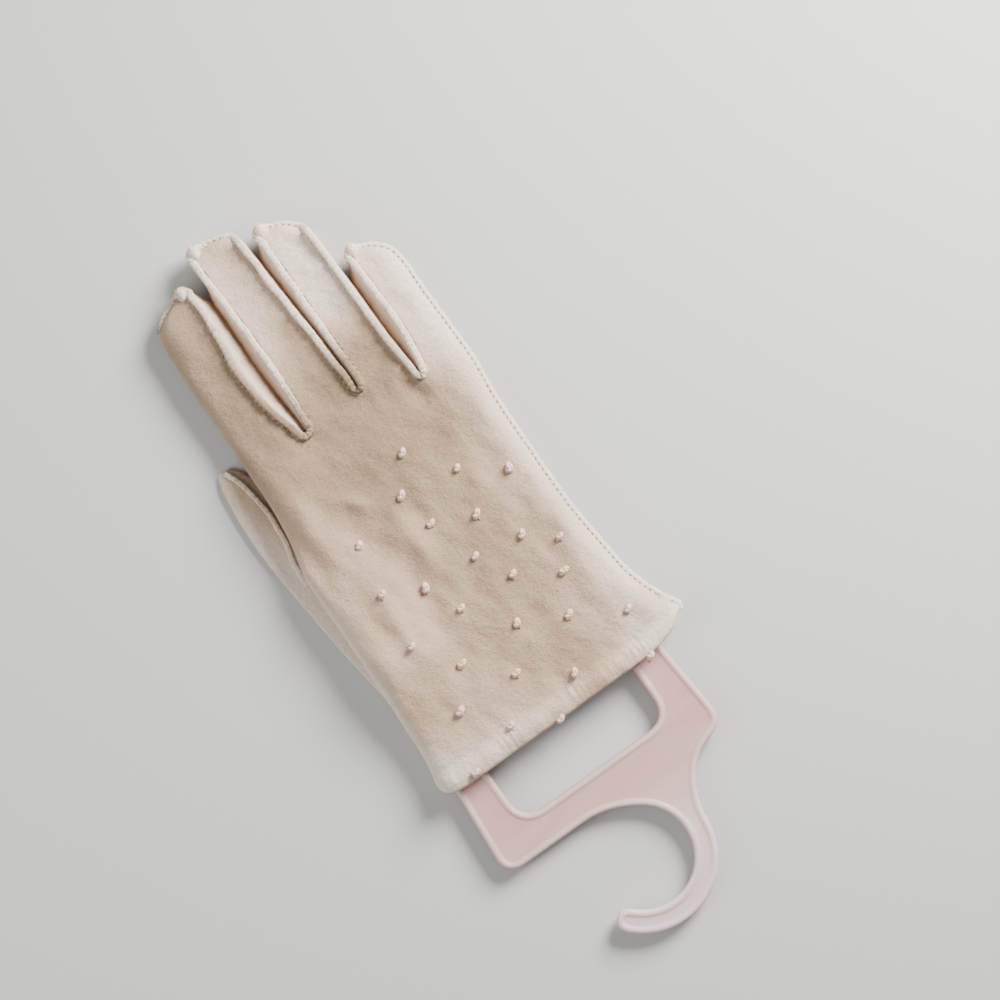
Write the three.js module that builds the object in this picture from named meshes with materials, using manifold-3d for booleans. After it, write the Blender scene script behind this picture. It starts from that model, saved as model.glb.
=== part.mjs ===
// A wrist length dress glove for the right hand, lying palm down, on the flat plastic hanger that keeps its
// cuff open. Millimetres. +Y runs from the cuff to the fingertips, +X to the little finger, +Z up from the
// surface that it lies on.
// The trank is one cloth: it covers the back, folds round the index finger's side and covers the palm. The
// cuff is its turned in hem. Three forked strips make the sides of the fingers, and the thumb is a cloth of
// its own. Every seam is raised on the outside: its cloths' edges stand up side by side.
import * as THREE from "three";
import { mergeVertices } from "three/addons/utils/BufferGeometryUtils.js";
import Module from "manifold-3d";

const wasm = await Module();
wasm.setup();

// Cloth, seams and hem.
const cloth = 1.0;
const seamGap = 0.3; // between the two cloths of a seam, and under what rests on the cloth
const seamStand = 1.8; // how far a raised seam stands proud of the cloth
const hemDepth = 9.0;
const hemGap = 0.5; // between the outer cloth and the turned in one
const seamAtCuff = 0.2; // share of its height that the outer side's seam keeps at the cuff's edge
const foldStand = 0.54; // how far the tip's seam stands where it runs out at the index finger's fold
const mitreLeast = 0.62; // how sharp a bend may still keep the cloth's full thickness, as a cosine
const cornerLeast = 0.3; // and a corner of a line its full distance
const swellLeast = 0.15; // how far the strip between two fingers swells where they all but touch

// The hand. Widths are across the flat glove, lengths run from the cuff's edge or from a finger's root.
const palmWidth = 97.0;
const palmLength = 132.0;
const indexWidth = 18.3;
const middleWidth = 16.2;
const ringWidth = 13.9;
const littleWidth = 12.3;
const indexLength = 67.5;
const middleLength = 74.5;
const ringLength = 71.0;
const littleLength = 49.8;
const indexMiddleGap = 11.3; // between the fingers' upper seams
const middleRingGap = 7.1;
const ringLittleGap = 9.1;
const tipLength = 9.0; // over which a fingertip closes
const tipRound = 0.4; // share of a side's rounding that is left at the tip
const tipSpared = 0.7; // share of a fingertip's narrowing that its sharp corner is spared

// Heights above the surface, outside to outside.
const cuffHeight = 12.6;
const cuffSide = 6.1; // height of the side edge at the cuff
const palmHeight = 12.8;
const fingerHeight = 11.5;
const fingerCrown = 0.9; // how far a finger's cloth swells between its seams
const upperRound = 7.0; // how far in from a side edge the back is rounded
const lowerRound = 4.4;
const sideSwell = 4.2; // how far the strip between two fingers may swell into the gap

// The thumb lies flattened, partly under the palm, and lifts it.
const thumbLength = 102.0;
const thumbWidth = 26.0;
const thumbHeight = 3.1;
const thumbWall = 0.85;
const thumbLine = -0.536 * palmWidth; // the line along the hand from which the thumb's sides are measured
const thumbFrom = 41.0; // from the cuff's edge to the thumb's lower end
const thumbHoleLength = 32.0;
const thumbHoleWidth = 11.0;
const thumbHoleFrom = 16.0; // from the thumb's lower end
const thumbHoleShift = 1.56; // from the thumb's middle to the hole's, across the hand
const thumbHoleBottom = 1.3; // the hole reaches down into the thumb's hollow
const thumbSeamWidth = 2.2;

// The hanger is a flat frame with a hook, partly inside the cuff.
const hangerThickness = 3.2;
const hangerWidth = 96.6;
const legWidth = 16.4;
const barHeight = 13.0;
const barFromCuff = 22.0; // from the cuff's edge out to the bar
const hangerInside = 23.0;
const hangerTaper = 4.6; // how much each leg leans in, from the bar to the end inside
const farBarHeight = 9.0;
const hangerCorner = 8.0;
const windowCorner = 9.0;
const hookInnerRadius = 18.8;
const hookWidth = 8.6;
const hookFromBar = 22.6; // from the bar's outer edge to the hook's centre
const hookEnd = 138.0; // degrees that the hook runs round past its side
const hookStart = 58.0; // degrees before it, where its inner edge leaves the bar
const hookShift = 4.5; // how far the hook's centre lies from the frame's, to the thumb's side
const neckDrop = 7.7; // from the bar's outer edge to where the hook's neck is full
const rimWidth = 2.3;
const rimHeight = 0.5;

// The knots embroidered on the back.
const knotWidth = 2.6;
const knotHeight = 1.7;

// How finely the shapes are divided.
const bodySections = 5; // of a finger, before its tip
const swellSteps = 5; // across the side of a finger
const thumbRing = 6; // points along the thumb's top, and as many along its bottom
const hookDivisions = 9;
const cornerDivisions = 4;
const knotSides = 7;
const samePoint = 0.05; // points of an outline closer than this are one

// Follows from the above.
const cuffY = -hemDepth / 2; // the origin lies on the middle of the hem
const rootY = cuffY + palmLength;
const seamPair = 2 * cloth + seamGap;
const hemThickness = 2 * cloth + hemGap;
const laneInset = 0.005 * palmWidth; // from the palm's left edge to the index finger's lane
const rad = Math.PI / 180;

// The palm's side edges: shares of palmLength from the cuff's edge, and of palmWidth from the centre line.
const palmEdges = [
  { at: 0.0, left: -0.574, right: 0.549 },
  { at: 0.034, left: -0.579, right: 0.56 },
  { at: 0.087, left: -0.565, right: 0.531 },
  { at: 0.14, left: -0.557, right: 0.505 },
  { at: 0.216, left: -0.552, right: 0.474 },
  { at: 0.292, left: -0.546, right: 0.46 },
  { at: 0.481, left: -0.537, right: 0.44 },
  { at: 0.708, left: -0.529, right: 0.444 },
  { at: 0.784, left: -0.505, right: 0.446 },
  { at: 0.86, left: -0.487, right: 0.452 },
  { at: 1.0, left: -0.476, right: 0.462 },
];

// The fingers from the thumb's side outwards. root is how far the finger starts past its straight cut,
// slant raises its tip's outer side, both as shares of its width. sharp is the side of the tip's sharp
// corner, where two seams cross. The rows hold how far its seams leave a straight lane, as shares of its
// width, from root to tip.
const fingers = [
  {
    name: "index", width: indexWidth, length: indexLength, gap: indexMiddleGap, root: 0.13, slant: 0.19,
    sharp: 1,
    rows: [
      { at: 0.0, left: -0.02, right: 0.2 },
      { at: 0.25, left: 0.0, right: -0.02 },
      { at: 0.5, left: 0.03, right: -0.085 },
      { at: 0.75, left: 0.08, right: 0.03 },
      { at: 1.0, left: 0.15, right: 0.05 },
    ],
  },
  {
    name: "middle", width: middleWidth, length: middleLength, gap: middleRingGap, root: 0.42, slant: -0.05,
    sharp: -1,
    rows: [
      { at: 0.0, left: -0.08, right: 0.09 },
      { at: 0.25, left: 0.01, right: 0.05 },
      { at: 0.5, left: 0.02, right: -0.02 },
      { at: 0.75, left: -0.02, right: -0.08 },
      { at: 1.0, left: -0.06, right: -0.1 },
    ],
  },
  {
    name: "ring", width: ringWidth, length: ringLength, gap: ringLittleGap, root: 0.1, slant: -0.18,
    sharp: -1,
    rows: [
      { at: 0.0, left: -0.02, right: 0.12 },
      { at: 0.25, left: 0.0, right: 0.01 },
      { at: 0.5, left: 0.0, right: 0.01 },
      { at: 0.75, left: 0.01, right: -0.01 },
      { at: 1.0, left: 0.0, right: -0.03 },
    ],
  },
  {
    name: "little", width: littleWidth, length: littleLength, gap: 0, root: -0.2, slant: -0.24,
    sharp: -1,
    rows: [
      { at: 0.0, left: -0.2, right: 0.05 },
      { at: 0.25, left: -0.02, right: 0.04 },
      { at: 0.5, left: 0.01, right: 0.02 },
      { at: 0.75, left: -0.02, right: -0.01 },
      { at: 1.0, left: -0.03, right: -0.04 },
    ],
  },
];
const lastFinger = fingers.length - 1;

// How far each crotch lies past the palm's length, as shares of palmLength.
const crotches = [0.019, 0.038, -0.03];

// How a fingertip closes: share of tipLength, then what is left of the width, of the height at the middle
// and of the height at the seams, and how far the raised seam leans out, as a share of a right angle.
const tipRows = [
  { at: 0.0, width: 1.0, middle: 1.0, seam: 1.0, lean: 0.0 },
  { at: 0.28, width: 0.98, middle: 0.94, seam: 0.64, lean: 0.0 },
  { at: 0.42, width: 0.96, middle: 0.86, seam: 0.44, lean: 0.0 },
  { at: 0.6, width: 0.9, middle: 0.72, seam: 0.12, lean: 0.85 },
  { at: 0.85, width: 0.76, middle: 0.42, seam: 0.0, lean: 1.0 },
  { at: 1.0, width: 0.6, middle: 0.0, seam: 0.0, lean: 1.0 },
];

// The thumb's sections, as shares of thumbLength, of thumbWidth from thumbLine and of thumbHeight.
const thumbRows = [
  { at: 0.0, left: -0.05, right: 0.22, height: 0.68 },
  { at: 0.1, left: -0.1, right: 0.56, height: 0.86 },
  { at: 0.22, left: -0.16, right: 0.72, height: 1.0 },
  { at: 0.38, left: -0.22, right: 0.75, height: 1.0 },
  { at: 0.54, left: -0.27, right: 0.7, height: 1.0 },
  { at: 0.68, left: -0.3, right: 0.58, height: 1.0 },
  { at: 0.8, left: -0.29, right: 0.44, height: 1.0 },
  { at: 0.9, left: -0.25, right: 0.28, height: 1.0 },
  { at: 0.96, left: -0.21, right: 0.16, height: 0.9 },
  { at: 1.0, left: -0.15, right: 0.04, height: 0.68 },
];

// The raised seam on the thumb's upper side, from its tip down to where the palm covers it: shares of
// thumbLength and of thumbWidth from thumbLine, and how far it stands.
const thumbSeam = [
  { at: 0.985, across: -0.02, stand: 1.2 },
  { at: 0.965, across: 0.01, stand: 1.6 },
  { at: 0.92, across: 0.06, stand: 1.6 },
  { at: 0.86, across: 0.09, stand: 1.6 },
  { at: 0.79, across: 0.12, stand: 1.6 },
  { at: 0.72, across: 0.11, stand: 1.6 },
  { at: 0.65, across: 0.08, stand: 1.4 },
  { at: 0.58, across: 0.03, stand: 1.0 },
];

// Where the thumb lifts the palm: fully inside the first share of palmWidth, not at all past the second.
const liftAcross = { full: -0.345, none: -0.175 };
// And shares of thumbLength from its lower end: the lift begins, is full, begins to fall and has ended.
const liftAlong = { begins: -0.17, full: 0.12, falls: 0.86, ends: 1.14 };

// How the palm's form changes along it, as shares of palmLength: it is full height and its sides begin to
// widen at the first two, its columns bend to the fingers' roots and its faces close in from the last two.
const palmAlong = { full: 0.4, widens: 0.3, bends: 0.85, closes: 0.82 };
// The cuff's corner at the outseam is drawn up towards the fingers: by a share of the hem, and how sharply
// each way.
const cuffCorner = { rise: 0.5, across: 8, along: 12 };

// Soft dents and swellings of the back: place and reach as shares of palmLength and palmWidth, turn in
// degrees from the hand's axis, depth as a share of palmHeight.
const dents = [
  { at: 0.8, across: -0.2, reach: 0.12, width: 0.055, turn: 55, depth: 0.09 },
  { at: 0.66, across: -0.42, reach: 0.16, width: 0.05, turn: 0, depth: 0.07 },
  { at: 0.66, across: -0.16, reach: 0.14, width: 0.05, turn: 10, depth: 0.06 },
  { at: 0.98, across: -0.24, reach: 0.035, width: 0.09, turn: 0, depth: 0.07 },
  { at: 0.99, across: 0.03, reach: 0.03, width: 0.07, turn: 0, depth: 0.05 },
  { at: 0.93, across: 0.24, reach: 0.03, width: 0.07, turn: 0, depth: 0.06 },
];

// The knots' places, as shares of palmLength from the cuff's edge and of palmWidth from the centre line.
const knots = [
  { at: 0.835, across: 0.022 },
  { at: 0.738, across: -0.077 },
  { at: 0.712, across: 0.155 },
  { at: 0.693, across: -0.302 },
  { at: 0.63, across: -0.045 },
  { at: 0.631, across: 0.314 },
  { at: 0.58, across: 0.117 },
  { at: 0.554, across: -0.333 },
  { at: 0.5, across: -0.196 },
  { at: 0.487, across: 0.028 },
  { at: 0.467, across: 0.212 },
  { at: 0.393, across: -0.357 },
  { at: 0.4, across: -0.131 },
  { at: 0.387, across: 0.099 },
  { at: 0.4, across: 0.317 },
  { at: 0.272, across: -0.252 },
  { at: 0.276, across: 0.005 },
  { at: 0.315, across: 0.26 },
  { at: 0.172, across: -0.352 },
  { at: 0.164, across: -0.108 },
  { at: 0.208, across: 0.177 },
  { at: 0.132, across: 0.367 },
  { at: 0.059, across: -0.236 },
  { at: 0.078, across: 0.072 },
  { at: 0.024, across: -0.435 },
  { at: 0.022, across: -0.067 },
  { at: 0.022, across: 0.335 },
];

const smooth = (from, to, value) => THREE.MathUtils.smoothstep(value, from, to);
const clamp = THREE.MathUtils.clamp;
const mix = THREE.MathUtils.lerp;
const sum = (list) => list.reduce((total, value) => total + value, 0);

// A column of a table at a place between its rows, on a smooth curve through them.
function fromTable(table, column, at) {
  const last = table.length - 1;
  const above = table.findIndex((row) => row.at > at);
  const i = above < 0 ? last - 1 : Math.max(0, above - 1);
  const [a, b] = [table[i], table[i + 1]];
  const slopeAt = (j) => {
    const [before, after] = [table[Math.max(0, j - 1)], table[Math.min(last, j + 1)]];
    return (after[column] - before[column]) / (after.at - before.at);
  };
  const h = b.at - a.at;
  const t = clamp((at - a.at) / h, 0, 1);
  const [t2, t3] = [t * t, t * t * t];
  return (
    (2 * t3 - 3 * t2 + 1) * a[column] + (t3 - 2 * t2 + t) * h * slopeAt(i) +
    (3 * t2 - 2 * t3) * b[column] + (t3 - t2) * h * slopeAt(i + 1)
  );
}

// The same between straight lines.
function fromRows(table, column, at) {
  const i = clamp(table.findIndex((row) => row.at >= at), 1, table.length - 1);
  const [a, b] = [table[i - 1], table[i]];
  return mix(a[column], b[column], clamp((at - a.at) / (b.at - a.at), 0, 1));
}

// A sheet of cloth, as its outer face. seam marks the points on an edge that is turned up.
class Sheet {
  constructor() {
    this.points = [];
    this.faces = [];
    this.seam = new Map();
  }

  point(x, y, z, seam) {
    this.points.push(new THREE.Vector3(x, y, z));
    if (seam) this.seam.set(this.points.length - 1, seam);
    return this.points.length - 1;
  }

  // Joins two rows of points. The face looks along row direction cross column direction.
  join(low, high) {
    for (let j = 0; j + 1 < low.length; j++) {
      this.faces.push([low[j], high[j], high[j + 1]], [low[j], high[j + 1], low[j + 1]]);
    }
  }

  // Closes a ring of points with a fan.
  cap(ring) {
    for (let j = 1; j + 1 < ring.length; j++) this.faces.push([ring[0], ring[j], ring[j + 1]]);
  }

  // Directed edges with a face on one side only.
  openEdges() {
    const used = new Map();
    for (const face of this.faces) {
      face.forEach((a, i) => used.set(`${a},${face[(i + 1) % 3]}`, [a, face[(i + 1) % 3]]));
    }
    return [...used.values()].filter(([a, b]) => !used.has(`${b},${a}`));
  }

  // Turns the marked edges up, or out where they lean: adds a strip of seam allowance along them.
  raiseSeams() {
    const edges = this.openEdges().filter(([a, b]) => this.seam.has(a) && this.seam.has(b));
    const before = new Map(edges.map(([a, b]) => [b, a]));
    const after = new Map(edges.map(([a, b]) => [a, b]));
    const tips = new Map();
    for (const i of new Set(edges.flat())) {
      const { side, lean, stand } = this.seam.get(i);
      const from = this.points[before.get(i) ?? i];
      const to = this.points[after.get(i) ?? i];
      const out = new THREE.Vector3(to.y - from.y, from.x - to.x, 0).normalize().multiplyScalar(side);
      const tip = this.points[i].clone().addScaledVector(out, Math.sin(lean * rad) * stand);
      tip.z += side * Math.cos(lean * rad) * stand;
      tips.set(i, this.point(tip.x, tip.y, tip.z));
    }
    for (const [a, b] of edges) {
      this.faces.push([b, a, tips.get(a)], [b, tips.get(a), tips.get(b)]);
    }
  }

  // Each point moved one thickness back, so that the walls keep that thickness round bends.
  innerPoints(thickness) {
    const around = this.points.map(() => []);
    const normals = this.points.map(() => new THREE.Vector3());
    for (const face of this.faces) {
      const [a, b, c] = face.map((i) => this.points[i]);
      const normal = new THREE.Vector3().crossVectors(b.clone().sub(a), c.clone().sub(a)).normalize();
      face.forEach((i, k) => {
        const [p, q] = [this.points[face[(k + 1) % 3]], this.points[face[(k + 2) % 3]]];
        const angle = p.clone().sub(this.points[i]).angleTo(q.clone().sub(this.points[i]));
        normals[i].addScaledVector(normal, angle);
        around[i].push(normal);
      });
    }
    return this.points.map((p, i) => {
      const n = normals[i].normalize();
      const mitre = Math.max(mitreLeast, Math.min(...around[i].map((m) => m.dot(n))));
      return p.clone().addScaledVector(n, -thickness / mitre);
    });
  }

  // The sheet as a closed solid: its inner face lies one thickness behind, and walls close its open edges.
  thicken(thickness) {
    const count = this.points.length;
    const faces = [...this.faces, ...this.faces.map(([a, b, c]) => [c + count, b + count, a + count])];
    for (const [a, b] of this.openEdges()) {
      faces.push([b, a, a + count], [b, a + count, b + count]);
    }
    return solidOf([...this.points, ...this.innerPoints(thickness)], faces);
  }
}

function solidOf(points, faces) {
  return new wasm.Manifold(
    new wasm.Mesh({
      numProp: 3,
      vertProperties: new Float32Array(points.flatMap((p) => [p.x, p.y, p.z])),
      triVerts: new Uint32Array(faces.flat()),
    }),
  );
}

// A three.js geometry as a solid, and back.
function solidFrom(geometry) {
  const bare = geometry.clone();
  bare.deleteAttribute("normal");
  bare.deleteAttribute("uv");
  const merged = mergeVertices(bare, 1e-4);
  return new wasm.Manifold(
    new wasm.Mesh({
      numProp: 3,
      vertProperties: new Float32Array(merged.attributes.position.array),
      triVerts: new Uint32Array(merged.index.array),
    }),
  );
}

function geometryOf(solid) {
  const mesh = solid.getMesh();
  const geometry = new THREE.BufferGeometry();
  geometry.setAttribute("position", new THREE.BufferAttribute(new Float32Array(mesh.vertProperties), 3));
  geometry.setIndex(new THREE.BufferAttribute(new Uint32Array(mesh.triVerts), 1));
  geometry.computeVertexNormals();
  return geometry;
}

// How far the thumb below lifts the palm, by place in plan.
function liftAt(x, y) {
  const from = cuffY + thumbFrom;
  const across = 1 - smooth(liftAcross.full * palmWidth, liftAcross.none * palmWidth, x);
  const rise = smooth(from + liftAlong.begins * thumbLength, from + liftAlong.full * thumbLength, y);
  const fall = smooth(from + liftAlong.falls * thumbLength, from + liftAlong.ends * thumbLength, y);
  return (thumbHeight + seamGap) * across * rise * (1 - fall);
}

function dentAt(x, y) {
  return sum(
    dents.map((dent) => {
      const [dx, dy] = [x - dent.across * palmWidth, y - cuffY - dent.at * palmLength];
      const [s, c] = [Math.sin(dent.turn * rad), Math.cos(dent.turn * rad)];
      const run = (dx * s + dy * c) / (dent.reach * palmLength);
      const side = (dx * c - dy * s) / (dent.width * palmWidth);
      return dent.depth * palmHeight * Math.exp(-run * run - side * side);
    }),
  );
}

// Each finger's straight lane, side by side across the palm's root, so that together they end at its edges.
const rootLeft = fromTable(palmEdges, "left", 1) * palmWidth;
let laneStart = rootLeft + laneInset;
for (const finger of fingers) {
  finger.laneLeft = laneStart;
  finger.laneRight = laneStart + finger.width;
  laneStart += finger.width + finger.gap;
}
// The palm's right edge keeps its table's shape below, and ends at the little finger's side.
const handRight = fingers[lastFinger].laneRight + seamStand;
const edgeLeft = (at) => fromTable(palmEdges, "left", at) * palmWidth;
const edgeRight = (at) =>
  fromTable(palmEdges, "right", at) * palmWidth - seamStand +
  smooth(palmAlong.widens, 1, at) * (handRight - fromTable(palmEdges, "right", 1) * palmWidth);

// The heights of the palm's back, front and side edge at a share of its length.
const palmRise = (at) => smooth(palmAlong.closes, 1, at);
const palmTop = (at) =>
  mix(mix(cuffHeight, palmHeight, smooth(0, palmAlong.full, at)), fingerHeight, palmRise(at));
const fingerBottom = seamStand - fingerCrown;
const fingerSide = (fingerHeight + fingerBottom) / 2;
const palmSide = (at) => mix(cuffSide, fingerSide, smooth(palmAlong.widens, 1, at));
const palmBottom = (at) => mix(0, fingerBottom, palmRise(at));

// A finger's section at a share of its length: its seams in plan, its heights at the middle and at the
// seams, what is left of the rounding at its sides, and how far its raised seams lean.
function fingerSection(finger, at) {
  const body = 1 - (tipLength + seamStand) / finger.length;
  const tip = clamp(((at - body) * finger.length) / tipLength, 0, 1);
  const [width, middle, seam, lean] = ["width", "middle", "seam", "lean"].map(
    (column) => fromRows(tipRows, column, tip),
  );
  const left = finger.laneLeft + fromTable(finger.rows, "left", at) * finger.width;
  const right = finger.laneRight + fromTable(finger.rows, "right", at) * finger.width;
  const [centre, half] = [(left + right) / 2, (right - left) / 2];
  const halfAt = (side) => half * (side === finger.sharp ? mix(width, 1, tipSpared) : width);
  const heights = [1, -1].map((upper) => {
    const closed = fingerSide + (upper * seamPair) / 2;
    const open = upper > 0 ? fingerHeight : fingerBottom;
    return { reach: mix(closed, open, middle), edge: mix(closed, open - upper * fingerCrown, seam) };
  });
  const [top, bottom] = heights;
  const round = mix(tipRound, 1, middle);
  return { left: centre - halfAt(-1), right: centre + halfAt(1), top, bottom, round, lean: 90 * lean };
}

// Shares of a finger's length at which its sections lie: even ones, then those of the tip.
function stationsOf(finger) {
  const body = 1 - (tipLength + seamStand) / finger.length;
  const even = Array.from({ length: bodySections }, (_, i) => ((i + 1) / bodySections) * body);
  return [...even, ...tipRows.slice(1).map((row) => body + (row.at * tipLength) / finger.length)];
}

// The columns of the upper cloth, from the fold at the index finger's side to the seam at the little
// finger's. flat is a place between a finger's seams, turn an angle round a side edge, web the middle of a
// crotch.
const columns = [];
fingers.forEach((finger, f) => {
  if (f === 0) [90, 60, 30].forEach((turn) => columns.push({ f, turn, side: -1 }));
  const cuts = f === 0 || f === lastFinger ? 3 : 4;
  for (let i = 0; i <= cuts; i++) columns.push({ f, flat: i / cuts });
  if (f === lastFinger) [30, 60, 90].forEach((turn) => columns.push({ f, turn, side: 1 }));
  else columns.push({ f, web: true });
});
const atFork = ({ f, flat, web }) => web || (flat === 1 && f < lastFinger) || (flat === 0 && f > 0);
const atOutseam = ({ turn, side }) => turn === 90 && side > 0;

// How far across from a finger's middle to its forked sides a flat column lies.
function towardsFork({ f, flat }) {
  if (f === 0) return flat;
  return f === lastFinger ? 1 - flat : Math.abs(2 * flat - 1);
}

// A column's place in a section of its finger. upper is 1 on the back and -1 on the palm.
function placeInSection(column, section, upper) {
  const roundness = (upper > 0 ? upperRound : lowerRound) * section.round;
  const flatLeft = section.left + (column.f === 0 ? roundness : 0);
  const flatRight = section.right - (column.f === lastFinger ? roundness : 0);
  const { reach, edge } = upper > 0 ? section.top : section.bottom;
  if (column.turn === undefined) {
    return { x: mix(flatLeft, flatRight, column.flat), z: mix(reach, edge, towardsFork(column) ** 2) };
  }
  const sideHeight = column.side > 0 ? fingerSide + (upper * seamPair) / 2 : fingerSide;
  return {
    x: column.side > 0 ? mix(flatRight, section.right, Math.sin(column.turn * rad))
      : mix(flatLeft, section.left, Math.sin(column.turn * rad)),
    z: mix(sideHeight, reach, Math.cos(column.turn * rad)),
  };
}

// Where a column's root lies: the palm's last row and the fingers' first one, without the thumb's lift.
function rootOf(column, upper) {
  const section = fingerSection(fingers[column.f], 0);
  if (column.web) {
    const next = fingerSection(fingers[column.f + 1], 0);
    const z = upper > 0 ? section.top.edge : section.bottom.edge;
    return { x: (section.right + next.left) / 2, y: rootY + crotches[column.f] * palmLength, z };
  }
  const place = placeInSection(column, section, upper);
  const low = column.f > 0 ? crotches[column.f - 1] * palmLength + 2 * cloth : 0;
  const beside = crotches[Math.min(column.f, lastFinger - 1)] * palmLength;
  const high = beside + (column.f < lastFinger ? 2 * cloth : 0);
  const across = (place.x - section.left) / (section.right - section.left);
  return { x: place.x, y: rootY + mix(low, high, across), z: place.z };
}

// A column's place on its finger at a share of the finger's length.
function fingerPoint(column, at, upper) {
  const finger = fingers[column.f];
  const section = fingerSection(finger, at);
  const place = placeInSection(column, section, upper);
  const root = rootOf(column, upper);
  const across = (place.x - section.left) / (section.right - section.left) - 0.5;
  const cut = (finger.root + 2 * across * finger.slant * at) * finger.width;
  const straight = rootY + cut + at * finger.length;
  const y = mix(root.y + at * finger.length, straight, smooth(0, 0.5, at));
  return { x: place.x, y, z: place.z + liftAt(place.x, y), lean: section.lean };
}

// The palm's outer face at a row and a column. The rows widen from the fingers' roots to the cuff.
function palmPoint(column, at, upper) {
  const root = rootOf(column, upper);
  const wideLeft = fingerSection(fingers[0], 0).left;
  const wideRight = fingerSection(fingers[lastFinger], 0).right;
  const roundness = upper > 0 ? upperRound : lowerRound;
  const share = (root.x - wideLeft - roundness) / (wideRight - wideLeft - 2 * roundness);
  const [left, right] = [edgeLeft(at), edgeRight(at)];
  const turned = column.turn !== undefined;
  let x = mix(left + roundness, right - roundness, share);
  if (turned) {
    const reach = roundness * (1 - Math.sin(column.turn * rad));
    x = column.side > 0 ? right - reach : left + reach;
  }
  x = mix(x, root.x, smooth(palmAlong.bends, 1, at));
  const corner = Math.max(0, (2 * (x - left)) / (right - left) - 1) ** cuffCorner.across;
  const drawn = cuffCorner.rise * hemDepth * corner * (1 - at) ** cuffCorner.along;
  const y = mix(cuffY + drawn, root.y, at);
  const forked = turned ? 0 : column.web ? 1 : towardsFork(column) ** 2;
  const flat = (upper > 0 ? palmTop(at) : palmBottom(at)) - upper * forked * fingerCrown * palmRise(at);
  const edge = palmSide(at) + (column.side > 0 ? (upper * seamPair) / 2 : 0);
  const level = turned ? Math.cos(column.turn * rad) : 1;
  const dent = upper > 0 ? dentAt(x, y) * level : 0;
  return new THREE.Vector3(x, y, mix(edge, flat, level) + liftAt(x, y) - dent);
}

// All the way round the hand: the back's columns from the outseam to the fold, then the palm's back again.
const round = [
  ...[...columns].reverse().map((column) => ({ column, upper: 1 })),
  ...columns.slice(1).map((column) => ({ column, upper: -1 })),
];
const palmRows = [0.018, 0.05, 0.1, 0.18, 0.28, 0.4, 0.52, 0.64, 0.75, 0.85, 0.93];

// The hem's rows, from its raw edge inside, round the cuff's edge and out.
function hemRows(sheet) {
  const across = (j) => palmPoint(round[j].column, palmRows[0], round[j].upper);
  const inward = round.map((_, j) => {
    const [a, b] = [across(Math.max(0, j - 1)), across(Math.min(round.length - 1, j + 1))];
    return new THREE.Vector3(a.z - b.z, 0, b.x - a.x).normalize();
  });
  const turns = [180, 135, 90, 45, 0].map((angle) => ({
    back: (hemThickness / 2) * (1 - Math.sin(angle * rad)),
    depth: (hemThickness / 2) * (1 - Math.cos(angle * rad)),
  }));
  return [{ back: hemDepth, depth: hemThickness }, ...turns].map(({ back, depth }) =>
    round.map(({ column, upper }, j) => {
      const place = palmPoint(column, back / palmLength, upper).addScaledVector(inward[j], depth);
      return sheet.point(place.x, palmPoint(column, 0, upper).y + back, place.z);
    }),
  );
}

function makeTrank() {
  const sheet = new Sheet();
  const rows = hemRows(sheet);
  for (const at of palmRows) {
    rows.push(
      round.map(({ column, upper }) => {
        const place = palmPoint(column, at, upper);
        const stand = seamStand * mix(seamAtCuff, 1, smooth(0, 1.6 * hemDepth, place.y - cuffY));
        const seam = atOutseam(column) && { side: upper, lean: 90, stand };
        return sheet.point(place.x, place.y, place.z, seam);
      }),
    );
  }
  rows.push(
    round.map(({ column, upper }) => {
      const { x, y, z } = rootOf(column, upper);
      const seam = { side: upper, lean: atOutseam(column) ? 90 : 0, stand: seamStand };
      return sheet.point(x, y, z + liftAt(x, y), (atFork(column) || atOutseam(column)) && seam);
    }),
  );
  for (let i = 0; i + 1 < rows.length; i++) sheet.join(rows[i], rows[i + 1]);

  // Each finger's strips: one round the fold for the index finger, an upper and a lower one for the others.
  const roots = rows[rows.length - 1];
  fingers.forEach((finger, f) => {
    const own = round
      .map((entry, j) => ({ ...entry, root: roots[j] }))
      .filter(({ column }) => column.f === f && !column.web);
    const strips = f === 0 ? [own] : [own.filter((e) => e.upper > 0), own.filter((e) => e.upper < 0)];
    const stations = stationsOf(finger);
    for (const strip of strips) {
      let low = strip.map((entry) => entry.root);
      stations.forEach((at, s) => {
        const end = s === stations.length - 1;
        const high = strip.map(({ column, upper }) => {
          const { x, y, z, lean } = fingerPoint(column, at, upper);
          const fold = column.turn === 90 && column.side < 0;
          const seam = {
            side: upper,
            lean: end || atOutseam(column) ? 90 : lean,
            stand: fold ? foldStand : seamStand,
          };
          return sheet.point(x, y, z, (end || atFork(column) || atOutseam(column)) && seam);
        });
        sheet.join(low, high);
        low = high;
      });
    }
  });
  sheet.raiseSeams();
  return sheet.thicken(cloth);
}

// The seam between two fingers in plan and height, from one tip down to the crotch and up to the other tip.
// It ends where the raised seams begin to lean.
function forkSeam(f) {
  const inStrip = (finger) => stationsOf(finger).slice(0, bodySections + 1);
  const sideOf = (column) => [0, ...inStrip(fingers[column.f])].map((at) => {
    const [top, bottom] = [1, -1].map((upper) =>
      at ? fingerPoint(column, at, upper) : withLift(rootOf(column, upper)),
    );
    return { x: top.x, y: top.y, top: top.z, bottom: bottom.z };
  });
  const web = withLift(rootOf({ f, web: true }, 1));
  const webBelow = withLift(rootOf({ f, web: true }, -1));
  return [
    ...sideOf({ f, flat: 1 }).reverse(),
    { x: web.x, y: web.y, top: web.z, bottom: webBelow.z },
    ...sideOf({ f: f + 1, flat: 0 }),
  ];
}

function withLift({ x, y, z }) {
  return { x, y, z: z + liftAt(x, y) };
}

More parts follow.
